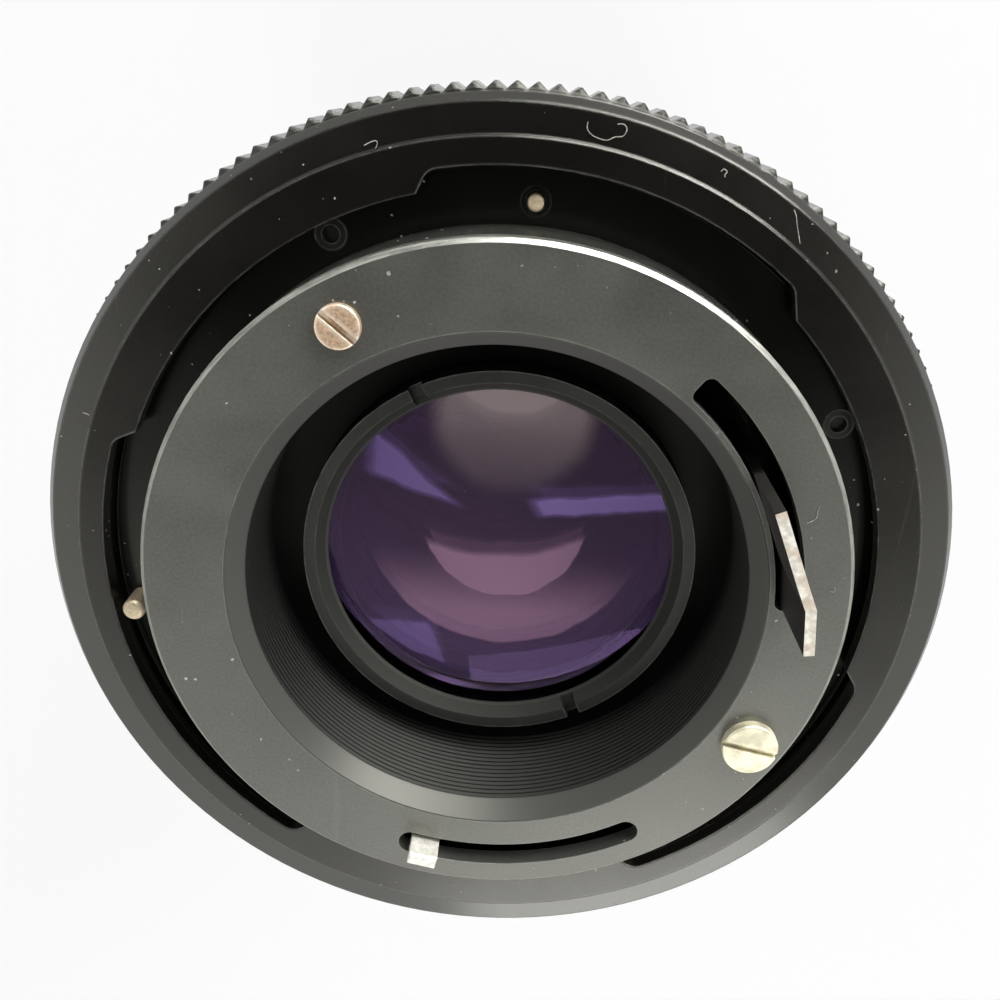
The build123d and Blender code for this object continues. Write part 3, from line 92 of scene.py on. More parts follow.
class LensSizes(bpy.types.PropertyGroup):
    """Sizes of the pieces that are added to the frame."""

    groove_pitch: FloatProperty(
        name="Baffle Groove Pitch", description="Distance between the fine grooves in the baffle",
        default=0.5 * MM, unit="LENGTH")
    groove_depth: FloatProperty(
        name="Baffle Groove Depth", description="Depth of the fine grooves in the baffle",
        default=0.2 * MM, unit="LENGTH")
    grip_rows_pitch: FloatProperty(
        name="Grip Row Pitch", description="Distance between the rows of rubber blocks",
        default=2.5 * MM, unit="LENGTH")
    grip_groove: FloatProperty(
        name="Grip Groove", description="Depth of the grooves between rubber blocks",
        default=0.5 * MM, unit="LENGTH")
    grip_columns: IntProperty(
        name="Grip Columns", description="Rubber blocks round each grip", default=60, min=12)
    thread_pitch: FloatProperty(
        name="Filter Thread Pitch", description="Pitch of the filter thread",
        default=0.75 * MM, unit="LENGTH")
    thread_depth: FloatProperty(
        name="Filter Thread Depth", description="Height of the filter thread's ridges",
        default=0.35 * MM, unit="LENGTH")
    paint_height: FloatProperty(
        name="Paint Height", description="How far painted figures stand off the metal",
        default=0.02 * MM, unit="LENGTH")
    line_width: FloatProperty(
        name="Line Width", description="Width of the index lines", default=0.35 * MM,
        unit="LENGTH")
    camera_lens: FloatProperty(
        name="Camera Lens", description="Focal length of the camera, in millimetres",
        default=37.8, unit="CAMERA")


class LensColours(bpy.types.PropertyGroup):
    """Colours of the finishes."""

    plate: FloatVectorProperty(
        name="Plate Black", description="Satin anodised rear plate", subtype="COLOR",
        default=(0.05, 0.05, 0.045))
    ring: FloatVectorProperty(
        name="Ring Black", description="Satin breech ring and barrel", subtype="COLOR",
        default=(0.006, 0.0054, 0.0046))
    flange: FloatVectorProperty(
        name="Flange Black", description="Glossy flange", subtype="COLOR",
        default=(0.003, 0.003, 0.0027))
    baffle: FloatVectorProperty(
        name="Baffle Black", description="Turned light baffle", subtype="COLOR",
        default=(0.002, 0.0023, 0.0023))
    cell: FloatVectorProperty(
        name="Cell Grey", description="Satin ring that holds the rear glass", subtype="COLOR",
        default=(0.015, 0.0155, 0.014))
    steel: FloatVectorProperty(
        name="Bare Steel", description="Levers and small pins", subtype="COLOR",
        default=(0.6, 0.58, 0.5))
    copper: FloatVectorProperty(
        name="Copper Brass", description="Small plate screw", subtype="COLOR",
        default=(0.55, 0.38, 0.25))
    pale_brass: FloatVectorProperty(
        name="Pale Brass", description="Large plate screw and stop pin", subtype="COLOR",
        default=(0.85, 0.8, 0.58))
    pin: FloatVectorProperty(
        name="Pin Brass", description="Dull worn pins on the flange", subtype="COLOR",
        default=(0.42, 0.35, 0.24))
    brass: FloatVectorProperty(
        name="Brass", description="Rollers and keys", subtype="COLOR",
        default=(0.6, 0.42, 0.16))
    aluminium: FloatVectorProperty(
        name="Bare Aluminium", description="Cam tube and inner rings", subtype="COLOR",
        default=(0.5, 0.5, 0.51))
    rubber: FloatVectorProperty(
        name="Rubber", description="Grips", subtype="COLOR", default=(0.022, 0.022, 0.022))
    paint: FloatVectorProperty(
        name="Scale Paint", description="White figures and lines", subtype="COLOR",
        default=(0.78, 0.77, 0.73))
    dust: FloatVectorProperty(
        name="Dust", description="Dust and lint", subtype="COLOR", default=(0.42, 0.4, 0.36))
    glass: FloatVectorProperty(
        name="Glass Tint", description="Tint of the glass", subtype="COLOR",
        default=(0.86, 0.8, 0.9))
    coating: FloatVectorProperty(
        name="Coating Violet", description="Reflection of the coatings",
        subtype="COLOR", default=(0.22, 0.1, 0.38))
    # Colours of the painted reflections in the rear glass.
    painted_reflection_dark: FloatVectorProperty(
        name="Painted Reflection Dark", description="Deep violet between the glows in the rear glass",
        subtype="COLOR", default=(0.085, 0.055, 0.1))
    painted_reflection_violet: FloatVectorProperty(
        name="Painted Reflection Violet", description="Blue violet streaks in the rear glass",
        subtype="COLOR", default=(0.3, 0.2, 0.52))
    painted_reflection_rose: FloatVectorProperty(
        name="Painted Reflection Rose", description="Rose bowls in the rear glass",
        subtype="COLOR", default=(0.42, 0.24, 0.36))
    painted_reflection_grey: FloatVectorProperty(
        name="Painted Reflection Grey", description="Warm grey glow at the top of the rear glass",
        subtype="COLOR", default=(0.46, 0.37, 0.37))


def sizes():
    return bpy.context.scene.lens_sizes


def colours():
    return bpy.context.scene.lens_colours


# Shader helpers


def add(tree, kind, inputs=None, **settings):
    """A node with its settings, and its inputs set or linked by name or place."""
    made = tree.nodes.new(kind)
    for key, value in settings.items():
        setattr(made, key, value)
    for key, value in (inputs or {}).items():
        if isinstance(value, bpy.types.NodeSocket):
            tree.links.new(value, made.inputs[key])
        else:
            made.inputs[key].default_value = value
    return made


def rgba(colour, scale=1.0):
    return tuple(min(channel * scale, 1.0) for channel in colour) + (1.0,)


def math_node(tree, operation, a, b=0.0, clamp=False):
    made = add(tree, "ShaderNodeMath", {0: a, 1: b}, operation=operation, use_clamp=clamp)
    return made.outputs[0]


def mix_colour(tree, factor, a, b):
    """Colour a where factor is 0 and b where it is 1."""
    made = add(tree, "ShaderNodeMix", {0: factor, 6: a, 7: b}, data_type="RGBA")
    return made.outputs[2]


def mix_value(tree, factor, a, b):
    made = add(tree, "ShaderNodeMix", {0: factor, 2: a, 3: b}, data_type="FLOAT")
    return made.outputs[0]


def steps(tree, value, low, high, out_low=0.0, out_high=1.0):
    """A smooth step of value from low to high."""
    made = add(tree, "ShaderNodeMapRange", {0: value, 1: low, 2: high, 3: out_low, 4: out_high},
               interpolation_type="SMOOTHSTEP")
    return made.outputs[0]


def product(tree, *values):
    total = values[0]
    for value in values[1:]:
        total = math_node(tree, "MULTIPLY", total, value)
    return total


def vector_node(tree, operation, a, b):
    made = add(tree, "ShaderNodeVectorMath", {0: a, 1: b}, operation=operation)
    return made.outputs["Value" if operation in ("DISTANCE", "DOT_PRODUCT") else 0]


def part_of(tree, vector, axis):
    """The x, y or z part of a vector, as 0, 1 or 2."""
    return add(tree, "ShaderNodeSeparateXYZ", {0: vector}).outputs[axis]


def object_place(tree):
    return tree.nodes.new("ShaderNodeTexCoord").outputs["Object"]


def axis_distance(tree, place):
    """Distance of a place from the lens axis."""
    flat = vector_node(tree, "MULTIPLY", place, (1.0, 1.0, 0.0))
    return add(tree, "ShaderNodeVectorMath", {0: flat}, operation="LENGTH").outputs["Value"]


def normal_rise(tree):
    """How far a face looks up: 1 for level faces and 0 for upright ones."""
    return part_of(tree, tree.nodes.new("ShaderNodeNewGeometry").outputs["True Normal"], 2)


def corner_shade(tree):
    """Painted shade: inner corners and recesses darkened, found by local ambient occlusion."""
    corner = add(tree, "ShaderNodeAmbientOcclusion", {"Distance": CORNER_SHADE_REACH}, samples=4,
                 only_local=True)
    return steps(tree, corner.outputs["AO"], 0.85, 0.35)


def shader_of(material):
    """Tree and shader of a finish."""
    return material.node_tree, material.node_tree.nodes["Principled BSDF"]


def linked(shader, name):
    """What feeds a socket of a shader."""
    return shader.inputs[name].links[0].from_socket


def new_group(name, inputs, outputs):
    """A shader group with named sockets, its tree and its two end nodes."""
    tree = bpy.data.node_groups.new(name, "ShaderNodeTree")
    for label, kind, value in inputs:
        socket = tree.interface.new_socket(label, in_out="INPUT", socket_type=kind)
        if value is not None:
            socket.default_value = value
    for label, kind in outputs:
        tree.interface.new_socket(label, in_out="OUTPUT", socket_type=kind)
    return tree, tree.nodes.new("NodeGroupInput"), tree.nodes.new("NodeGroupOutput")


FLOAT, VECTOR = "NodeSocketFloat", "NodeSocketVector"
CORNER_SHADE_REACH = 0.35 * MM


def grain_group():
    """Fine grain of an anodised or painted face, over soft blotches."""
    tree, start, end = new_group(
        "Fine Grain",
        [("Vector", VECTOR, None), ("Scale", FLOAT, 4000.0), ("Blotch Scale", FLOAT, 120.0)],
        [("Tone", FLOAT), ("Blotch", FLOAT)])
    fine = add(tree, "ShaderNodeTexNoise", {
        "Vector": start.outputs["Vector"], "Scale": start.outputs["Scale"], "Detail": 2.0})
    blotch = add(tree, "ShaderNodeTexNoise", {
        "Vector": start.outputs["Vector"], "Scale": start.outputs["Blotch Scale"],
        "Detail": 4.0, "Roughness": 0.6})
    tree.links.new(steps(tree, fine.outputs[0], 0.3, 0.7), end.inputs["Tone"])
    tree.links.new(steps(tree, blotch.outputs[0], 0.35, 0.68), end.inputs["Blotch"])
    return tree


def dust_group():
    """Small ragged specks of dust, thicker where it has gathered."""
    tree, start, end = new_group(
        "Dust Specks",
        [("Vector", VECTOR, None), ("Scale", FLOAT, 900.0), ("Amount", FLOAT, 0.1)],
        [("Mask", FLOAT)])
    ragged = add(tree, "ShaderNodeTexNoise", {
        "Vector": start.outputs["Vector"], "Scale": 6000.0, "Detail": 2.0})
    shift = vector_node(tree, "MULTIPLY", ragged.outputs["Color"], (0.16 * MM,) * 3)
    place = vector_node(tree, "ADD", start.outputs["Vector"], shift)
    cells = add(tree, "ShaderNodeTexVoronoi", {"Vector": place, "Scale": start.outputs["Scale"]})
    chance = add(tree, "ShaderNodeSeparateColor", {0: cells.outputs["Color"]})
    rare = math_node(tree, "POWER", chance.outputs[0], 5.0)
    drift = add(tree, "ShaderNodeTexNoise", {
        "Vector": start.outputs["Vector"], "Scale": 90.0, "Detail": 2.0})
    patch = steps(tree, drift.outputs[0], 0.35, 0.7, 0.35, 1.5)
    reach = product(tree, rare, patch, start.outputs["Amount"])
    gap = math_node(tree, "SUBTRACT", reach, cells.outputs["Distance"])
    faint = math_node(tree, "ADD", chance.outputs[1], 0.25, clamp=True)
    tree.links.new(product(tree, steps(tree, gap, 0.0, 0.02), faint), end.inputs["Mask"])
    return tree


def scratch_group():
    """Thin straight scratches in a few directions, broken along their length."""
    tree, start, end = new_group(
        "Hair Scratches",
        [("Vector", VECTOR, None), ("Scale", FLOAT, 300.0), ("Amount", FLOAT, 0.5)],
        [("Mask", FLOAT)])
    total = None
    for turn, stretch in ((0.5, 0.04), (1.9, 0.05), (2.7, 0.03)):
        place = add(tree, "ShaderNodeMapping", {
            "Vector": start.outputs["Vector"], "Rotation": (0.0, 0.0, turn),
            "Scale": (1.0, stretch, 1.0)})
        lines = add(tree, "ShaderNodeTexNoise", {
            "Vector": place.outputs[0], "Scale": start.outputs["Scale"], "Detail": 5.0,
            "Roughness": 0.75})
        thin = steps(tree, lines.outputs[0], 0.66, 0.72)
        total = thin if total is None else math_node(tree, "MAXIMUM", total, thin)
    tree.links.new(product(tree, total, start.outputs["Amount"]), end.inputs["Mask"])
    return tree


def wear_group():
    """Outer edges where the finish has rubbed through, broken by noise."""
    tree, start, end = new_group(
        "Edge Wear",
        [("Vector", VECTOR, None), ("Width", FLOAT, 0.1 * MM), ("Amount", FLOAT, 0.5)],
        [("Mask", FLOAT)])
    edge = add(tree, "ShaderNodeAmbientOcclusion", {"Distance": start.outputs["Width"]},
               samples=4, inside=True, only_local=True)
    rough = add(tree, "ShaderNodeTexNoise", {
        "Vector": start.outputs["Vector"], "Scale": 700.0, "Detail": 6.0, "Roughness": 0.7})
    broken = steps(tree, rough.outputs[0], 0.3, 0.65)
    near = steps(tree, edge.outputs["AO"], 0.95, 0.6)
    tree.links.new(product(tree, near, broken, start.outputs["Amount"]), end.inputs["Mask"])
    return tree


GROUPS = {}


def group(tree, name, inputs):
    """One of the shared effects, placed in a material."""
    # The glow key makes the painted reflections of the rear glass.
    makers = {"grain": grain_group, "dust": dust_group, "scratch": scratch_group,
              "wear": wear_group, "glow": painted_reflection_group}
    if name not in GROUPS:
        GROUPS[name] = makers[name]()
    return add(tree, "ShaderNodeGroup", inputs, node_tree=GROUPS[name])


def new_material(name):
    """An empty node material and its shader."""
    made = bpy.data.materials.new(name)
    made.use_nodes = True
    return made, *shader_of(made)


def side_scuffs(tree, place, radius, amount):
    """Scuffs on leaning and upright faces outside a radius, rubbed along their length."""
    leaning = steps(tree, math_node(tree, "ABSOLUTE", normal_rise(tree)), 0.97, 0.8)
    outside = steps(tree, axis_distance(tree, place), radius - 0.1 * MM, radius)
    turned = add(tree, "ShaderNodeMapping", {"Vector": place, "Scale": (0.25, 0.25, 4.0)})
    rub = add(tree, "ShaderNodeTexNoise", {
        "Vector": turned.outputs[0], "Scale": 1300.0, "Detail": 6.0, "Roughness": 0.8})
    patchy = steps(tree, rub.outputs[0], 0.35, 0.62, 0.12, 1.0)
    return product(tree, leaning, outside, patchy, amount)


def surface(name, colour, roughness, worn=(0.35, 0.35, 0.34), metallic=0.0, wear=0.4,
            wear_width=0.12 * MM, dust=0.12, dust_scale=1100.0, scratches=0.25, tone=0.18,
            grain=0.4, grain_scale=5000.0, blotch=0.15, edge=0.04 * MM, corner_shade_share=0.5, shine=0.5,
            scuffed=0.0, scuffed_r=1.0, warmth=0.12):
    """A worn, dusty finish: grain, blotches, scratches, rubbed edges and specks of dust, with
    painted shade in inner corners.
    """
    made, tree, shader = new_material(name)
    place = object_place(tree)
    fine = group(tree, "grain", {"Vector": place, "Scale": grain_scale})
    body = mix_colour(tree, fine.outputs["Tone"], rgba(colour, 1 - tone), rgba(colour, 1 + tone))
    body = mix_colour(tree, product(tree, fine.outputs["Blotch"], blotch), body,
                      rgba(colour, 1.9))
    lines = group(tree, "scratch", {"Vector": place, "Amount": scratches}).outputs["Mask"]
    body = mix_colour(tree, lines, body, rgba(worn, 0.6))
    rubbed = group(tree, "wear", {
        "Vector": place, "Width": wear_width, "Amount": wear}).outputs["Mask"]
    body = mix_colour(tree, rubbed, body, rgba(worn))
    if scuffed:
        rubbed = math_node(tree, "MAXIMUM", rubbed, side_scuffs(tree, place, scuffed_r, scuffed))
        body = mix_colour(tree, rubbed, body, rgba(worn))
    specks = group(tree, "dust", {
        "Vector": place, "Scale": dust_scale, "Amount": dust}).outputs["Mask"]
    body = mix_colour(tree, specks, body, rgba(colours().dust))
    # Painted shade: inner corners darken towards 0.12 of the colour.
    body = mix_colour(tree, product(tree, corner_shade(tree), corner_shade_share), body, rgba(colour, 0.12))
    tree.links.new(body, shader.inputs["Base Color"])
    sheen = mix_value(tree, fine.outputs["Blotch"], roughness * 0.92, min(roughness * 1.15, 1.0))
    sheen = mix_value(tree, specks, sheen, 0.9)
    tree.links.new(sheen, shader.inputs["Roughness"])
    bare = math_node(tree, "MAXIMUM", product(tree, rubbed, 0.8), metallic)
    tree.links.new(mix_value(tree, specks, bare, 0.0), shader.inputs["Metallic"])
    rounded = add(tree, "ShaderNodeBevel", {"Radius": edge}, samples=4)
    height = math_node(tree, "SUBTRACT", product(tree, fine.outputs["Tone"], grain), lines)
    bump = add(tree, "ShaderNodeBump", {
        "Strength": 0.25, "Distance": 0.01 * MM, "Height": height,
        "Normal": rounded.outputs[0]})
    tree.links.new(bump.outputs[0], shader.inputs["Normal"])
    shader.inputs["Specular IOR Level"].default_value = shine
    shader.inputs["Specular Tint"].default_value = (1.0, 0.99, 1.0 - warmth, 1.0)
    return made


def plate_finish():
    return surface("Plate Satin Black", colours().plate, 0.36, worn=(0.3, 0.3, 0.27), wear=0.3,
                   wear_width=0.1 * MM, dust=0.14, dust_scale=1500.0, scratches=0.1, tone=0.22,
                   blotch=0.22, shine=0.9, scuffed=0.95,
                   scuffed_r=radius_of("rear_plate") - 0.3 * MM)


def cell_finish():
    return surface("Cell Satin Grey", colours().cell, 0.4, worn=(0.3, 0.3, 0.28), wear=0.5,
                   dust=0.04, scratches=0.05, shine=0.4)


RETAINER_FLAT = 0.89 * MM
RETAINER_IN_R = 12.81 * MM


def retainer_finish():
    """Satin ring whose cone has painted shade in the baffle's black and whose inner edge has a
    painted highlight.
    """
    made = cell_finish()
    tree, shader = shader_of(made)
    reach = axis_distance(tree, object_place(tree))
    inner = radius_of("rear_retaining_ring") - RETAINER_FLAT
    soft = 0.03 * MM
    # Painted shade on the cone, darkened to the baffle's black, and a painted highlight on a thin
    # line at its inner edge.
    cone = steps(tree, reach, inner + soft, inner - soft)
    highlight_lip = steps(tree, reach, RETAINER_IN_R + 0.2 * MM, RETAINER_IN_R + 0.14 * MM)
    before = linked(shader, "Base Color")
    dark = mix_colour(tree, cone, before, rgba(colours().baffle))
    # Painted highlight: the line at the cone's inner edge is twice as light as the cell grey.
    rubbed = mix_colour(tree, product(tree, highlight_lip, cone), dark, rgba(colours().cell, 2.0))
    tree.links.new(rubbed, shader.inputs["Base Color"])
    gloss = linked(shader, "Roughness")
    tree.links.new(mix_value(tree, cone, gloss, 0.8), shader.inputs["Roughness"])
    return made


def ring_finish():
    """Satin black whose knurl is rounded off at its ends."""
    made = surface("Ring Satin Black", colours().ring, 0.2, worn=(0.3, 0.29, 0.27), wear=0.35,
                   dust=0.15, dust_scale=1500.0, scratches=0.08, shine=0.55)
    tree = made.node_tree
    reach = axis_distance(tree, object_place(tree))
    root = radius_of("breech_ring") - 0.5 * MM
    knurled = steps(tree, reach, root, root + 0.1 * MM)
    rounded = next(node for node in tree.nodes if node.type == "BEVEL")
    tree.links.new(mix_value(tree, knurled, 0.25 * MM, 0.6 * MM), rounded.inputs["Radius"])
    return made


def barrel_finish():
    return surface("Barrel Satin Black", colours().ring, 0.36, worn=(0.38, 0.37, 0.35), wear=0.4,
                   dust=0.05, scratches=0.1, warmth=0.02)


THROAT_SIDE_R = 24.2 * MM
BAFFLE_LIP_R = 18.58 * MM
BAFFLE_BORE_R = 17.46 * MM
FUNNEL_R = 18.48 * MM
FUNNEL_DEPTH = 1.36 * MM


def flange_finish():
    return surface("Flange Gloss Black", colours().flange, 0.18, worn=(0.24, 0.24, 0.21),
                   wear=0.06, dust=0.16, dust_scale=1500.0, scratches=0.05, scuffed=0.75,
                   scuffed_r=THROAT_SIDE_R)


def funnel_finish():
    """Light baffle: its cone is satin grey like the plate and its bore is black."""
    made = surface("Funnel Black", colours().baffle, 0.25, worn=(0.08, 0.08, 0.08), wear=0.0,
                   dust=0.05, scratches=0.0, tone=0.1, shine=0.2)
    tree, shader = shader_of(made)
    rise = part_of(tree, object_place(tree), 2)
    top = z_range("light_baffle")[1]
    cone = steps(tree, rise, top - FUNNEL_DEPTH - 0.25 * MM, top - FUNNEL_DEPTH + 0.15 * MM)
    before = linked(shader, "Base Color")
    tree.links.new(mix_colour(tree, cone, before, rgba(colours().plate, 1.4)),
                   shader.inputs["Base Color"])
    tree.links.new(mix_value(tree, cone, 0.6, 0.36), shader.inputs["Roughness"])
    return made


def baffle_finish():
    return surface("Baffle Turned Black", colours().baffle, 0.33, worn=(0.08, 0.08, 0.08),
                   wear=0.2, dust=0.03, scratches=0.0, tone=0.1, shine=0.35)


def steel_finish():
    return surface("Bare Steel", colours().steel, 0.48, worn=(0.72, 0.71, 0.66), metallic=0.45,
                   wear=0.8, dust=0.1, scratches=0.5, tone=0.25, grain=0.8, grain_scale=2500.0,
                   blotch=0.3, corner_shade_share=0.7)


def lever_finish():
    """Blackened strip whose upper edge is bare above the plate."""
    made = steel_finish()
    made.name = "Lever Steel"
    tree, shader = shader_of(made)
    place = object_place(tree)
    rise = part_of(tree, place, 2)
    bare = product(tree, steps(tree, normal_rise(tree), 0.5, 0.7),
                   steps(tree, rise, PLATE_FACE - 1.2 * MM, PLATE_FACE + 0.3 * MM))
    stain = group(tree, "grain", {"Vector": place, "Scale": 1500.0, "Blotch Scale": 900.0})
    before = linked(shader, "Base Color")
    tinted = mix_colour(tree, product(tree, stain.outputs["Blotch"], 0.6),
                        before, rgba(colours().copper, 0.75))
    tree.links.new(mix_colour(tree, bare, rgba(colours().ring, 1.6), tinted),
                   shader.inputs["Base Color"])
    tree.links.new(product(tree, bare, 0.4), shader.inputs["Metallic"])
    return made


def blackened_finish():
    return surface("Blackened Steel", colours().flange, 0.34, worn=(0.35, 0.34, 0.32), wear=0.4,
                   dust=0.1, scratches=0.2)


def brass_finish():
    return surface("Plain Brass", colours().brass, 0.32, worn=(0.75, 0.58, 0.28), metallic=1.0,
                   wear=0.5, dust=0.05, scratches=0.5)


def pin_finish():
    return surface("Worn Pale Brass", colours().pin, 0.5, worn=(0.75, 0.66, 0.48),
                   metallic=0.35, wear=0.6, dust=0.15, scratches=0.8, tone=0.3, blotch=0.6,
                   corner_shade_share=0.9)


def aluminium_finish():
    return surface("Turned Aluminium", colours().aluminium, 0.3, worn=(0.75, 0.75, 0.76),
                   metallic=1.0, wear=0.4, dust=0.03, scratches=0.3)


def screw_finish():
    """Two unlike plate screws in one node: coppery left of the axis, pale brass right of it."""
    made = surface("Plate Screw Metal", colours().copper, 0.4, worn=(0.9, 0.8, 0.66),
                   metallic=0.4, wear=1.0, wear_width=0.35 * MM, dust=0.12, scratches=0.8,
                   blotch=0.3, tone=0.25, corner_shade_share=1.0)
    tree, shader = shader_of(made)
    place = object_place(tree)
    right = steps(tree, part_of(tree, place, 0), -1.0 * MM, 1.0 * MM)
    tarnish = group(tree, "grain", {"Vector": place, "Scale": 1500.0, "Blotch Scale": 700.0})
    pale = mix_colour(tree, tarnish.outputs["Blotch"], rgba(colours().pale_brass),
                      rgba(colours().pale_brass, 0.6))
    before = linked(shader, "Base Color")
    # Painted shade: the pale screw darkens in its slot and inner corners.
    pale = mix_colour(tree, corner_shade(tree), pale, rgba(colours().pale_brass, 0.12))
    tree.links.new(mix_colour(tree, right, before, pale), shader.inputs["Base Color"])
    return made


def rubber_finish():
    return surface("Moulded Rubber", colours().rubber, 0.62, worn=(0.09, 0.09, 0.09), wear=0.5,
                   wear_width=0.25 * MM, dust=0.16, scratches=0.0, grain=1.0, grain_scale=3000.0,
                   blotch=0.35)


def paint_finish():
    return surface("Scale Paint", colours().paint, 0.5, worn=(0.3, 0.3, 0.29), wear=0.3,
                   dust=0.05, scratches=0.1, tone=0.06)


PAINTED_REFLECTION_WAVE = 0.7
PAINTED_REFLECTION_LIFT = 0.5


def disc(tree, flat, centre, radius, soft):
    """1 inside a disc of the flat coordinates and 0 outside it, sizes in millimetres."""
    away = vector_node(tree, "DISTANCE", flat, (*centre, 0.0))
    return steps(tree, away, radius + soft, radius - soft)


def beyond(tree, flat, point, angle, soft):
    """1 on the side of a line through a point that an angle points to, and 0 on the other."""
    turn = math.radians(angle)
    way = (math.cos(turn), math.sin(turn), 0.0)
    edge = point[0] * way[0] + point[1] * way[1]
    return steps(tree, vector_node(tree, "DOT_PRODUCT", flat, way), edge - soft, edge + soft)


def painted_reflection_group():
    """Painted reflections: bowls and streaks that the coated inner surfaces would reflect, painted
    on the rear glass, in millimetres.
    """
    tree, start, end = new_group(
        "Painted Coating Reflections", [("Vector", VECTOR, None)], [("Color", "NodeSocketColor"), ("Mask", FLOAT)])
    scaled = vector_node(tree, "MULTIPLY", start.outputs["Vector"], (1 / MM,) * 3)
    wave = add(tree, "ShaderNodeTexNoise", {"Vector": scaled, "Scale": 0.35, "Detail": 3.0})
    moved = vector_node(tree, "MULTIPLY", wave.outputs["Color"], (PAINTED_REFLECTION_WAVE, PAINTED_REFLECTION_WAVE, 0.0))
    centred = vector_node(tree, "ADD", moved, (-PAINTED_REFLECTION_WAVE / 2, -PAINTED_REFLECTION_WAVE / 2 - PAINTED_REFLECTION_LIFT, 0.0))
    bent = vector_node(tree, "ADD", scaled, centred)
    place = vector_node(tree, "MULTIPLY", bent, (1.0, 1.0, 0.0))
    height = part_of(tree, place, 1)

    colour = rgba(colours().painted_reflection_dark)
    squashed = vector_node(tree, "MULTIPLY", place, (1.0, 1.08, 0.0))
    lit = disc(tree, squashed, (-0.1, 1.7), 12.9, 0.12)
    mask = product(tree, lit, 0.55)
    layers = (
        (product(tree, disc(tree, place, (0.13, 2.0), 11.2, 0.15),
                 beyond(tree, place, (0.0, -1.0), -90, 2.0)), colours().painted_reflection_dark, 0.45),
        (product(tree, disc(tree, place, (0.25, 3.2), 10.6, 0.12),
                 steps(tree, height, 0.2, -5.0, 0.0, 1.0)), colours().painted_reflection_rose, 0.7),
        (product(tree, disc(tree, place, (0.18, 2.6), 6.0, 0.1),
                 steps(tree, disc(tree, place, (-1.1, 14.8), 14.8, 0.5), 1.0, 0.0)),
         colours().painted_reflection_rose, 0.75),
        (product(tree, beyond(tree, place, (1.9, 3.1), 96, 0.25),
                 beyond(tree, place, (2.8, 4.6), -84, 0.25),
                 beyond(tree, place, (2.4, 3.8), 30, 0.6)), colours().painted_reflection_violet, 0.85),
        (product(tree, beyond(tree, place, (-9.9, 5.3), 76, 0.3),
                 beyond(tree, place, (-6.8, 6.4), -127, 0.3),
                 beyond(tree, place, (-10.0, 6.0), 0, 0.8)), colours().painted_reflection_violet, 0.75),
        (product(tree, beyond(tree, place, (-9.9, -6.5), -88, 0.2),
                 beyond(tree, place, (-4.4, -7.5), -158, 0.2)), colours().painted_reflection_violet, 0.6),
        (product(tree, disc(tree, place, (0.2, 10.7), 5.6, 0.9),
                 steps(tree, height, 4.5, 11.5, 0.25, 0.9)), colours().painted_reflection_grey, 0.8),
        (disc(tree, place, (-0.1, 15.4), 5.2, 0.7), colours().painted_reflection_grey, 0.9),
    )
    for shape, tint, strength in layers:
        share = product(tree, shape, strength)
        colour = mix_colour(tree, share, colour, rgba(tint))
        mask = math_node(tree, "MAXIMUM", mask, product(tree, share, lit))
    tree.links.new(colour, end.inputs["Color"])
    tree.links.new(mask, end.inputs["Mask"])
    return tree


def glass_finish(name, painted_reflection_share=0.0):
    """Coated glass: clear and faintly violet, with painted reflections of its coatings in a diffuse
    layer where asked.
    """
    made, tree, shader = new_material(name)
    place = object_place(tree)
    specks = group(tree, "dust", {
        "Vector": place, "Scale": 1100.0, "Amount": 0.05}).outputs["Mask"]
    tree.links.new(mix_colour(tree, specks, rgba(colours().glass), rgba(colours().dust)),
                   shader.inputs["Base Color"])
    tree.links.new(mix_value(tree, specks, 0.0, 0.6), shader.inputs["Roughness"])
    shader.inputs["Transmission Weight"].default_value = 1.0
    shader.inputs["IOR"].default_value = 1.52
    shader.inputs["Specular Tint"].default_value = rgba(colours().coating)
    if painted_reflection_share:
        # Painted reflections: the coatings' bowls and streaks in a diffuse layer mixed over the
        # glass.
        glow = group(tree, "glow", {"Vector": place})
        painted_reflection_layer = add(tree, "ShaderNodeBsdfDiffuse", {"Color": glow.outputs["Color"]})
        share = product(tree, glow.outputs["Mask"], painted_reflection_share)
        mixed = add(tree, "ShaderNodeMixShader", {
            0: share, 1: shader.outputs[0], 2: painted_reflection_layer.outputs[0]})
        tree.links.new(mixed.outputs[0], tree.nodes["Material Output"].inputs["Surface"])
    return made


# Mesh helpers


def piece(name, bm, material, body, shade_angle=math.radians(35)):
    """A finished piece from a bmesh: in its place and on its body."""
    mesh = bpy.data.meshes.new(name)
    bm.to_mesh(mesh)
    bm.free()
    mesh.shade_smooth()
    mesh.set_sharp_from_angle(angle=shade_angle)
    mesh.materials.append(material)
    made = bpy.data.objects.new(name, mesh)
    bpy.context.scene.collection.objects.link(made)
    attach(made, body)
    return made


def spun(bm, section, count=SPIN_STEPS):
    """Turns a closed section of (radius, z) points once round the lens axis."""
    corners = [bm.verts.new((radius, 0.0, z)) for radius, z in section]
    sides = [bm.edges.new((a, b)) for a, b in zip(corners, corners[1:] + corners[:1])]
    bmesh.ops.spin(bm, geom=corners + sides, cent=(0, 0, 0), axis=(0, 0, 1), dvec=(0, 0, 0),
                   angle=math.tau, steps=count, use_merge=True, use_duplicate=False)
    bmesh.ops.recalc_face_normals(bm, faces=bm.faces)


def from_curve(curve):
    """The mesh of a curve, as a bmesh."""
    holder = bpy.data.objects.new(curve.name, curve)
    bpy.context.scene.collection.objects.link(holder)
    bpy.context.view_layer.update()
    mesh = bpy.data.meshes.new_from_object(holder)
    bpy.data.objects.remove(holder)
    bpy.data.curves.remove(curve)
    bm = bmesh.new()
    bm.from_mesh(mesh)
    bpy.data.meshes.remove(mesh)
    return bm


def dress(material, nodes):
    """Gives CAD nodes a finish."""
    for name in nodes:
        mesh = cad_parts[name].data
        mesh.materials.clear()
        mesh.materials.append(material)


# Pieces


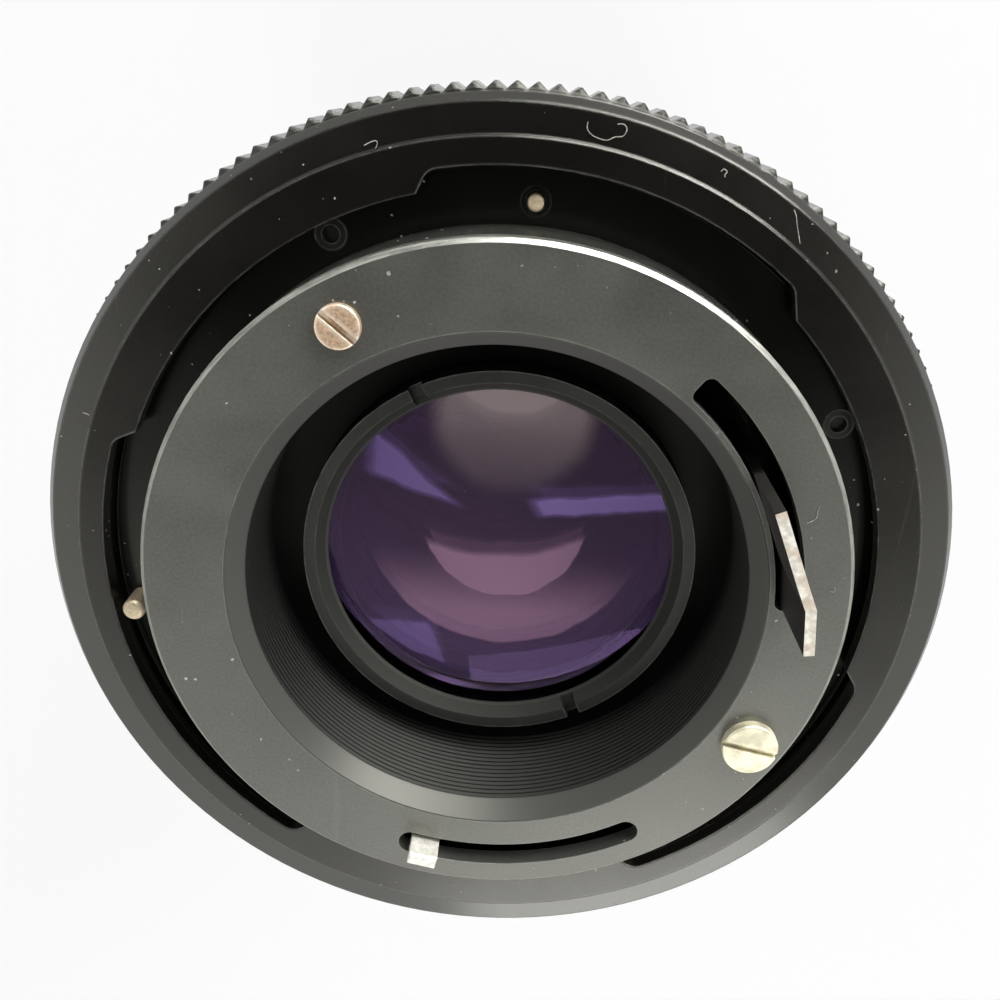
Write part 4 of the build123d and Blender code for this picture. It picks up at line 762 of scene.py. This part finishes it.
class LENS_OT_turned_baffle(bpy.types.Operator):
    """Light baffle with its cone and the fine grooves of its bore"""

    bl_idname = "lens.turned_baffle"
    bl_label = "Turned Baffle"

    def execute(self, context):
        low, high = z_range("light_baffle")
        shoulder_r = radius_of("light_baffle")
        plate_back = z_range("rear_plate")[0]
        lip_r, bore_r = BAFFLE_LIP_R, BAFFLE_BORE_R
        pitch, depth = sizes().groove_pitch, sizes().groove_depth
        start = high - FUNNEL_DEPTH
        section = [(FUNNEL_R, high), (lip_r, high), (lip_r, plate_back), (shoulder_r, plate_back),
                   (shoulder_r, low), (bore_r, low)]
        count = int((start - low) / pitch) - 1
        for i in range(count, -1, -1):
            crest = start - i * pitch
            section += [(bore_r, crest - 0.9 * pitch), (bore_r + depth, crest - 0.4 * pitch),
                        (bore_r + depth, crest - 0.3 * pitch), (bore_r, crest - 0.15 * pitch)]
        section.append((bore_r, start))
        bm = bmesh.new()
        spun(bm, section)
        made = piece("turned_baffle", bm, funnel_finish(), "housing")
        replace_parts(made, "light_baffle")
        return {"FINISHED"}


GRIP_BAND = 1.5 * MM
GRIP_EDGE = 0.2 * MM
GRIP_STEPS = 180
GRIP_LAND = 0.62
GRIP_ROW_GAP = 0.7 * MM
GRIP_BLOCK_EDGE = 0.14 * MM
GRIP_BLOCK_ROOT = 0.1 * MM
GRIP_WALL = {"zoom_grip": 1.4 * MM, "focus_grip": 1.2 * MM}


def grip(node, ring, body, material):
    """Rubber sleeve with rows and columns of blocks between two end bands."""
    low, high = z_range(node)
    outer = radius_of(node)
    root = outer - sizes().grip_groove
    inner = outer - GRIP_WALL[node]
    bm = bmesh.new()
    band, edge = GRIP_BAND, GRIP_EDGE
    spun(bm, [(inner, low), (outer - edge, low), (outer, low + edge), (outer, low + band - edge),
              (outer - edge, low + band), (root, low + band), (root, high - band),
              (outer - edge, high - band), (outer, high - band + edge), (outer, high - edge),
              (outer - edge, high), (inner, high)], GRIP_STEPS)
    space = high - low - 2 * band
    rows = int(space / sizes().grip_rows_pitch)
    step = space / rows
    columns = sizes().grip_columns
    width = math.tau * outer / columns * GRIP_LAND
    made = bmesh.ops.create_cube(bm, size=1.0)
    block = made["verts"]
    length = step - GRIP_ROW_GAP
    thick = outer - root + GRIP_BLOCK_ROOT
    bmesh.ops.scale(bm, vec=(thick, width, length), verts=block)
    bmesh.ops.translate(bm, vec=(outer - thick / 2, 0.0, low + band + step / 2), verts=block)
    crown = [line for line in bm.edges
             if all(vert in block and vert.co.x > outer - thick / 2 for vert in line.verts)]
    rounded = bmesh.ops.bevel(bm, geom=crown, offset=GRIP_BLOCK_EDGE, offset_type="OFFSET",
                              segments=2, profile=0.5, affect="EDGES", material=-1)
    faces = set(rounded["faces"])
    for vert in block:
        if vert.is_valid:
            faces.update(vert.link_faces)
    for face in list(faces):
        for vert in face.verts:
            faces.update(vert.link_faces)
    faces = [face for face in faces if face.is_valid]
    column = list(faces)
    for row in range(1, rows):
        copied = bmesh.ops.duplicate(bm, geom=faces)
        new_verts = [item for item in copied["geom"] if isinstance(item, bmesh.types.BMVert)]
        bmesh.ops.translate(bm, vec=(0, 0, row * step), verts=new_verts)
        column += [item for item in copied["geom"] if isinstance(item, bmesh.types.BMFace)]
    for i in range(1, columns):
        copied = bmesh.ops.duplicate(bm, geom=column)
        new_verts = [item for item in copied["geom"] if isinstance(item, bmesh.types.BMVert)]
        turn = Matrix.Rotation(math.tau * i / columns, 3, "Z")
        bmesh.ops.rotate(bm, cent=(0, 0, 0), matrix=turn, verts=new_verts)
    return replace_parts(piece(ring, bm, material, body), node)


class LENS_OT_rubber_grips(bpy.types.Operator):
    """Rubber grips of the zoom and focus rings"""

    bl_idname = "lens.rubber_grips"
    bl_label = "Rubber Grips"

    def execute(self, context):
        rubber = rubber_finish()
        grip("zoom_grip", "zoom_rubber", "zoom", rubber)
        grip("focus_grip", "focus_rubber", "focus", rubber)
        return {"FINISHED"}


FILTER_R = 27.1 * MM
FILTER_DEPTH = 6.4 * MM
RIDGE_ROOT = 0.05 * MM


class LENS_OT_filter_thread(bpy.types.Operator):
    """Ridges of the filter thread inside the front rim"""

    bl_idname = "lens.filter_thread"
    bl_label = "Filter Thread"

    def execute(self, context):
        pitch, depth = sizes().thread_pitch, sizes().thread_depth
        count = int((FILTER_DEPTH - pitch) / pitch)
        bm = bmesh.new()
        root, crest = FILTER_R + RIDGE_ROOT, FILTER_R - depth
        for i in range(count):
            z = (i + 1) * pitch
            spun(bm, [(root, z - 0.45 * pitch), (root, z + 0.45 * pitch),
                      (crest, z + 0.08 * pitch), (crest, z - 0.08 * pitch)])
        piece("filter_thread_ridges", bm, barrel_finish(), "front")
        return {"FINISHED"}


# Scales


FONT_SCALE = 1.4
APERTURE_FIGURES = ("4", "5.6", "8", "11", "16", "22", "32")
APERTURE_TURN = 38.0
APERTURE_STEP = APERTURE_TURN / (len(APERTURE_FIGURES) - 1)
ZOOM_FIGURES = (("80", 0.0), ("100", 19.0), ("135", 43.0), ("200", 70.0))
FOCUS_FIGURES = (("30", 18.0), ("15", 36.0), ("10", 54.0), ("7", 77.0), ("5", 106.0),
                 ("4", 133.0), ("3", 168.0), ("2.5", 200.0))
DEPTH_MARKS = ((4.5, ""), (7.5, "16"), (11.5, "22"))
APERTURE_HEIGHT = 1.5 * MM
ZOOM_HEIGHT = 1.15 * MM
DEPTH_HEIGHT = 1.0 * MM
FOCUS_HEIGHT = 1.7 * MM
FAR_HEIGHT = 1.9 * MM


def wrap(bm, radius, angle, z):
    """Bends flat work round the lens: x runs round to the right and y towards the front."""
    for vert in bm.verts:
        x, y, up = vert.co
        turn = math.radians(angle) - x / radius
        reach = radius + up
        vert.co = (reach * math.cos(turn), reach * math.sin(turn), z - y)


def figure(text, height, radius, angle, z, turn=0.0):
    """A painted figure on a ring, as a bmesh."""
    curve = bpy.data.curves.new("figure", "FONT")
    curve.body = text
    curve.size = height * FONT_SCALE
    curve.align_x = "CENTER"
    curve.align_y = "CENTER"
    curve.resolution_u = 4
    curve.extrude = sizes().paint_height
    bm = from_curve(curve)
    bmesh.ops.remove_doubles(bm, verts=bm.verts, dist=1e-7)
    bmesh.ops.rotate(bm, cent=(0, 0, 0), matrix=Matrix.Rotation(turn, 3, "Z"), verts=bm.verts)
    wrap(bm, radius, angle, z)
    return bm


def mark(width, length, radius, angle, z):
    """A painted line along the lens, as a bmesh."""
    bm = bmesh.new()
    bmesh.ops.create_cube(bm, size=1.0)
    bmesh.ops.scale(bm, vec=(width, length, 2 * sizes().paint_height), verts=bm.verts)
    wrap(bm, radius, angle, z)
    return bm


def joined(parts):
    """Several bmeshes as one."""
    whole = bmesh.new()
    for part in parts:
        mesh = bpy.data.meshes.new("part")
        part.to_mesh(mesh)
        part.free()
        whole.from_mesh(mesh)
        bpy.data.meshes.remove(mesh)
    bmesh.ops.recalc_face_normals(whole, faces=whole.faces)
    return whole


class LENS_OT_scales(bpy.types.Operator):
    """Plain painted figures and index lines on the rings"""

    bl_idname = "lens.scales"
    bl_label = "Scales"

    def execute(self, context):
        paint = paint_finish()
        line = sizes().line_width
        (low, high), radius = z_range("aperture_ring"), radius_of("aperture_ring")
        z = low + 2.0 * MM
        parts = [figure(text, APERTURE_HEIGHT, radius, TOP_OF_LENS - i * APERTURE_STEP, z)
                 for i, text in enumerate(APERTURE_FIGURES)]
        piece("aperture_figures", joined(parts), paint, "aperture")

        (low, high), radius = z_range("index_ring"), radius_of("index_ring")
        parts = [mark(line * 1.6, 3.6 * MM, radius, TOP_OF_LENS, (low + high) / 2)]
        piece("index_line", joined(parts), paint, "housing")

        (low, high), radius = z_range("zoom_ring"), radius_of("zoom_ring")
        z = high - 1.25 * MM
        parts = [figure(text, ZOOM_HEIGHT, radius, TOP_OF_LENS - turn, z)
                 for text, turn in ZOOM_FIGURES]
        piece("zoom_figures", joined(parts), paint, "zoom")

        (low, high), radius = z_range("focus_index_ring"), radius_of("focus_index_ring")
        front = low + (high - low) * 0.5
        parts = [mark(line * 1.4, 3.0 * MM, radius, TOP_OF_LENS, front)]
        for turn, text in DEPTH_MARKS:
            for side in (-1, 1):
                angle = TOP_OF_LENS + side * turn
                parts.append(mark(line * 0.7, 1.0 * MM, radius, angle, front - 0.9 * MM))
                if text:
                    parts.append(figure(text, DEPTH_HEIGHT, radius, angle, front + 0.6 * MM))
        piece("depth_scale", joined(parts), paint, "housing")

        (low, high), radius = z_range("focus_ring"), radius_of("focus_ring")
        z = high - 3.0 * MM
        parts = [figure("8", FAR_HEIGHT, radius, TOP_OF_LENS, z, turn=math.pi / 2)]
        parts += [figure(text, FOCUS_HEIGHT, radius, TOP_OF_LENS - turn, z)
                  for text, turn in FOCUS_FIGURES]
        piece("focus_figures", joined(parts), paint, "focus")
        return {"FINISHED"}


# Lint


HAIR_R = 0.03 * MM
RING_STEP = 0.25 * MM
RING_SLOPE = 0.15
RING_RIDGE_R = 29.9 * MM
RING_HAIRS = (
    ((3.2, 31.0), (3.1, 30.7), (3.4, 30.3), (3.9, 30.1), (4.5, 30.0), (4.9, 30.3), (5.4, 30.3),
     (5.6, 30.6), (5.6, 30.9), (5.3, 31.1), (5.0, 31.0)),
    ((11.7, 28.8), (11.8, 29.0), (12.0, 28.9), (12.1, 28.8), (11.9, 28.6), (12.0, 28.5)),
    ((16.6, 26.9), (16.8, 26.6), (16.9, 26.1), (17.1, 25.5), (17.3, 24.9)),
    ((-10.4, 28.5), (-10.1, 28.7), (-9.6, 28.9), (-9.6, 28.5), (-9.7, 28.4)),
    ((-29.1, 9.6), (-28.8, 9.6), (-28.6, 9.5)))
PLATE_HAIRS = (
    ((20.0, 7.6), (20.4, 7.8), (20.6, 8.1), (20.5, 8.5), (20.6, 8.9)),
    ((22.5, 2.8), (22.7, 2.7), (22.8, 3.0), (22.7, 3.1)))


def hair(points, height):
    """A thin curled hair along flat points in millimetres, at a height of each point."""
    curve = bpy.data.curves.new("hair", "CURVE")
    curve.dimensions = "3D"
    curve.bevel_depth = HAIR_R
    curve.bevel_resolution = 1
    spline = curve.splines.new("NURBS")
    spline.points.add(len(points) - 1)
    for spot, (x, y) in zip(spline.points, points):
        spot.co = (x * MM, y * MM, height(math.hypot(x, y) * MM) + HAIR_R, 1.0)
    spline.order_u = 3
    spline.use_endpoint_u = True
    return from_curve(curve)


def ring_height(radius):
    """Height of the breech ring's bevelled top at a radius."""
    return z_range("breech_ring")[1] - RING_STEP - RING_SLOPE * (radius - RING_RIDGE_R)


class LENS_OT_lint(bpy.types.Operator):
    """Curled hairs of lint on the breech ring and the rear plate"""

    bl_idname = "lens.lint"
    bl_label = "Lint"

    def execute(self, context):
        made, tree, shader = new_material("Pale Lint")
        place = object_place(tree)
        fine = group(tree, "grain", {"Vector": place})
        tree.links.new(mix_colour(tree, fine.outputs["Tone"], rgba(colours().dust, 0.6),
                                  rgba(colours().dust, 1.3)), shader.inputs["Base Color"])
        shader.inputs["Roughness"].default_value = 0.9
        on_ring = joined([hair(points, ring_height) for points in RING_HAIRS])
        piece("ring_lint", on_ring, made, "breech")
        on_plate = joined([hair(points, lambda radius: PLATE_FACE) for points in PLATE_HAIRS])
        piece("plate_lint", on_plate, made, "housing")
        return {"FINISHED"}


# Finishes of the CAD nodes


class LENS_OT_mount_finishes(bpy.types.Operator):
    """Finishes of the rear mount: plate, flange, breech ring, pins, screws and levers"""

    bl_idname = "lens.mount_finishes"
    bl_label = "Mount Finishes"

    def execute(self, context):
        dress(plate_finish(), ["rear_plate"])
        dress(ring_finish(), ["breech_ring"])
        dress(flange_finish(), ["mount_base", "release_pin_bush"])
        dress(screw_finish(), ["plate_screws"])
        dress(pin_finish(), ["ring_stop_pin", "release_pin"])
        dress(lever_finish(), ["aperture_lever"])
        dress(steel_finish(), ["signal_lever", "release_pin_spring"])
        dress(blackened_finish(), ["flange_screws"])
        return {"FINISHED"}


class LENS_OT_barrel_finishes(bpy.types.Operator):
    """Finishes of the barrel, its rings and the front"""

    bl_idname = "lens.barrel_finishes"
    bl_label = "Barrel Finishes"

    def execute(self, context):
        dress(barrel_finish(), ["main_barrel", "aperture_ring", "index_ring", "zoom_ring",
                                "focus_index_ring", "focus_ring", "front_barrel", "front_ring"])
        dress(blackened_finish(), ["aperture_key_screw", "zoom_key_screws"])
        return {"FINISHED"}


class LENS_OT_mechanism_finishes(bpy.types.Operator):
    """Finishes of the iris, cam tube, cells, rollers and keys"""

    bl_idname = "lens.mechanism_finishes"
    bl_label = "Mechanism Finishes"

    def execute(self, context):
        inner = baffle_finish()
        dress(inner, ["iris_cover", "iris_rotor", "iris_carrier", "rear_inner_ring",
                      "compensator_cell", "compensator_lock_ring", "variator_cell",
                      "variator_lock_ring", "front_inner_ring", "front_cell"])
        dress(cell_finish(), ["rear_cell"])
        dress(retainer_finish(), ["rear_retaining_ring"])
        dress(blackened_finish(), [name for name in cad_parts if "iris_blade" in name])
        dress(steel_finish(), ["lever_retaining_clip", "rotor_retaining_ring", "click_ball",
                               "click_spring"])
        dress(aluminium_finish(), ["cam_tube", "cam_retaining_ring", "focus_clamp_ring"])
        dress(brass_finish(), ["focus_keys", "compensator_rollers", "variator_rollers"])
        return {"FINISHED"}


class LENS_OT_glass_finishes(bpy.types.Operator):
    """Coated glass of all the elements"""

    bl_idname = "lens.glass_finishes"
    bl_label = "Glass Finishes"

    def execute(self, context):
        dress(glass_finish("Coated Glass"), [
            "rear_inner_element", "compensator_lens", "variator_lens", "front_element",
            "front_inner_element"])
        # The rear glass gets painted reflections of its coatings.
        dress(glass_finish("Rear Glass Painted Reflections", painted_reflection_share=0.75), ["rear_element"])
        return {"FINISHED"}


# Stage


CAMERA_PLACE = Vector((0.0, 33.257, 63.907)) * MM
CAMERA_TURN = (-21.929, 1.106, 4.705)
CAMERA_SHIFT = (-0.0174, 0.0001)
FLOOR_WHITE = 0.8
FLOOR_HALF = 3.0
LENS_FOOT_R = radius_of("front_barrel")
CEILING_DARK = 0.03
WINDOW_WAY = (0.35, 0.89, 0.28)
WINDOW_LIGHT = 22.0
ROOM_LIGHT = 1.9
SOFT_LIGHT = 0.65


def floor_finish():
    """Pale floor that shows near white and keeps the object's shadow."""
    made, tree, shader = new_material("Pale Floor")
    shader.inputs["Base Color"].default_value = rgba((FLOOR_WHITE,) * 3)
    shader.inputs["Roughness"].default_value = 0.7
    path = tree.nodes.new("ShaderNodeLightPath")
    seen = math_node(tree, "MAXIMUM", path.outputs["Is Camera Ray"],
                     path.outputs["Is Glossy Ray"])
    seen = math_node(tree, "MAXIMUM", seen, path.outputs["Is Transmission Ray"])
    glow = add(tree, "ShaderNodeEmission", {"Color": rgba((1.0,) * 3), "Strength": 1.0})
    place = object_place(tree)
    reach = add(tree, "ShaderNodeVectorMath", {0: place}, operation="LENGTH").outputs["Value"]
    lit = steps(tree, reach, LENS_FOOT_R, LENS_FOOT_R + 2 * MM)
    share = product(tree, seen, lit, steps(tree, reach, 0.12, 0.6, 0.8, 1.0))
    mixed = add(tree, "ShaderNodeMixShader", {0: share, 1: shader.outputs[0], 2: glow.outputs[0]})
    tree.links.new(mixed.outputs[0], tree.nodes["Material Output"].inputs["Surface"])
    return made


def backdrop_world():
    """White surroundings to the eye with a dark ceiling in reflections, softer as a light."""
    world = bpy.data.worlds.new("Studio")
    bpy.context.scene.world = world
    world.use_nodes = True
    tree = world.node_tree
    path = tree.nodes.new("ShaderNodeLightPath")
    mirrored = math_node(tree, "MAXIMUM", path.outputs["Is Glossy Ray"],
                         path.outputs["Is Transmission Ray"])
    way = tree.nodes.new("ShaderNodeTexCoord").outputs["Generated"]
    room = steps(tree, part_of(tree, way, 2), 0.7, 0.95, ROOM_LIGHT, CEILING_DARK)
    towards = vector_node(tree, "DOT_PRODUCT", way, WINDOW_WAY)
    window = steps(tree, towards, 0.86, 0.95, 0.0, WINDOW_LIGHT)
    strength = mix_value(tree, mirrored, SOFT_LIGHT, math_node(tree, "MAXIMUM", room, window))
    back = tree.nodes["Background"]
    back.inputs["Color"].default_value = rgba((1.0,) * 3)
    tree.links.new(mix_value(tree, path.outputs["Is Camera Ray"], strength, 1.0),
                   back.inputs["Strength"])


def softbox(name, place, aim, size, power):
    """A soft square lamp that points at a place."""
    lamp = bpy.data.lights.new(name, "AREA")
    lamp.shape = "SQUARE"
    lamp.size = size
    lamp.energy = power
    made = bpy.data.objects.new(name, lamp)
    bpy.context.scene.collection.objects.link(made)
    made.location = place
    made.rotation_euler = (Vector(aim) - Vector(place)).to_track_quat("-Z", "Y").to_euler()
    return made


class LENS_OT_stage(bpy.types.Operator):
    """Floor, surroundings, soft lamps and the camera"""

    bl_idname = "lens.stage"
    bl_label = "Stage"

    def execute(self, context):
        bm = bmesh.new()
        bmesh.ops.create_grid(bm, x_segments=1, y_segments=1, size=FLOOR_HALF)
        mesh = bpy.data.meshes.new("floor")
        bm.to_mesh(mesh)
        bm.free()
        mesh.materials.append(floor_finish())
        floor = bpy.data.objects.new("floor", mesh)
        context.scene.collection.objects.link(floor)
        backdrop_world()
        middle = (0.0, 0.0, LENS_TOP / 2)
        softbox("key_softbox", (0.22, -0.8, 0.7), middle, 0.5, 3.4)
        softbox("rim_softbox", (0.46, 0.68, 0.4), middle, 0.35, 5.5)
        camera = bpy.data.cameras.new("camera")
        camera.lens = sizes().camera_lens
        camera.shift_x, camera.shift_y = CAMERA_SHIFT
        camera.clip_start = 0.001
        eye = bpy.data.objects.new("camera", camera)
        context.scene.collection.objects.link(eye)
        eye.location = CAMERA_PLACE + Vector((0.0, 0.0, PLATE_FACE))
        eye.rotation_euler = Euler([math.radians(turn) for turn in CAMERA_TURN], "XYZ")
        context.scene.camera = eye
        context.scene.view_settings.view_transform = "Standard"
        return {"FINISHED"}


class LENS_PT_panel(bpy.types.Panel):
    """Sidebar panel of the zoom lens"""

    bl_idname = "LENS_PT_panel"
    bl_label = "Zoom Lens"
    bl_space_type = "VIEW_3D"
    bl_region_type = "UI"
    bl_category = "Zoom Lens"

    def draw(self, context):
        for made in OPERATORS:
            self.layout.operator(made.bl_idname)
        for settings in (context.scene.lens_sizes, context.scene.lens_colours):
            for key in settings.__annotations__:
                self.layout.prop(settings, key)


OPERATORS = (LENS_OT_turned_baffle, LENS_OT_rubber_grips, LENS_OT_filter_thread, LENS_OT_scales,
             LENS_OT_lint, LENS_OT_mount_finishes, LENS_OT_barrel_finishes,
             LENS_OT_mechanism_finishes, LENS_OT_glass_finishes, LENS_OT_stage)
CLASSES = (LensSizes, LensColours) + OPERATORS + (LENS_PT_panel,)


def register():
    for made in CLASSES:
        bpy.utils.register_class(made)
    bpy.types.Scene.lens_sizes = PointerProperty(type=LensSizes)
    bpy.types.Scene.lens_colours = PointerProperty(type=LensColours)


def unregister():
    del bpy.types.Scene.lens_sizes
    del bpy.types.Scene.lens_colours
    for made in reversed(CLASSES):
        bpy.utils.unregister_class(made)


def main():
    register()
    for made in OPERATORS:
        family, name = made.bl_idname.split(".")
        getattr(getattr(bpy.ops, family), name)()


if __name__ == "__main__":
    main()
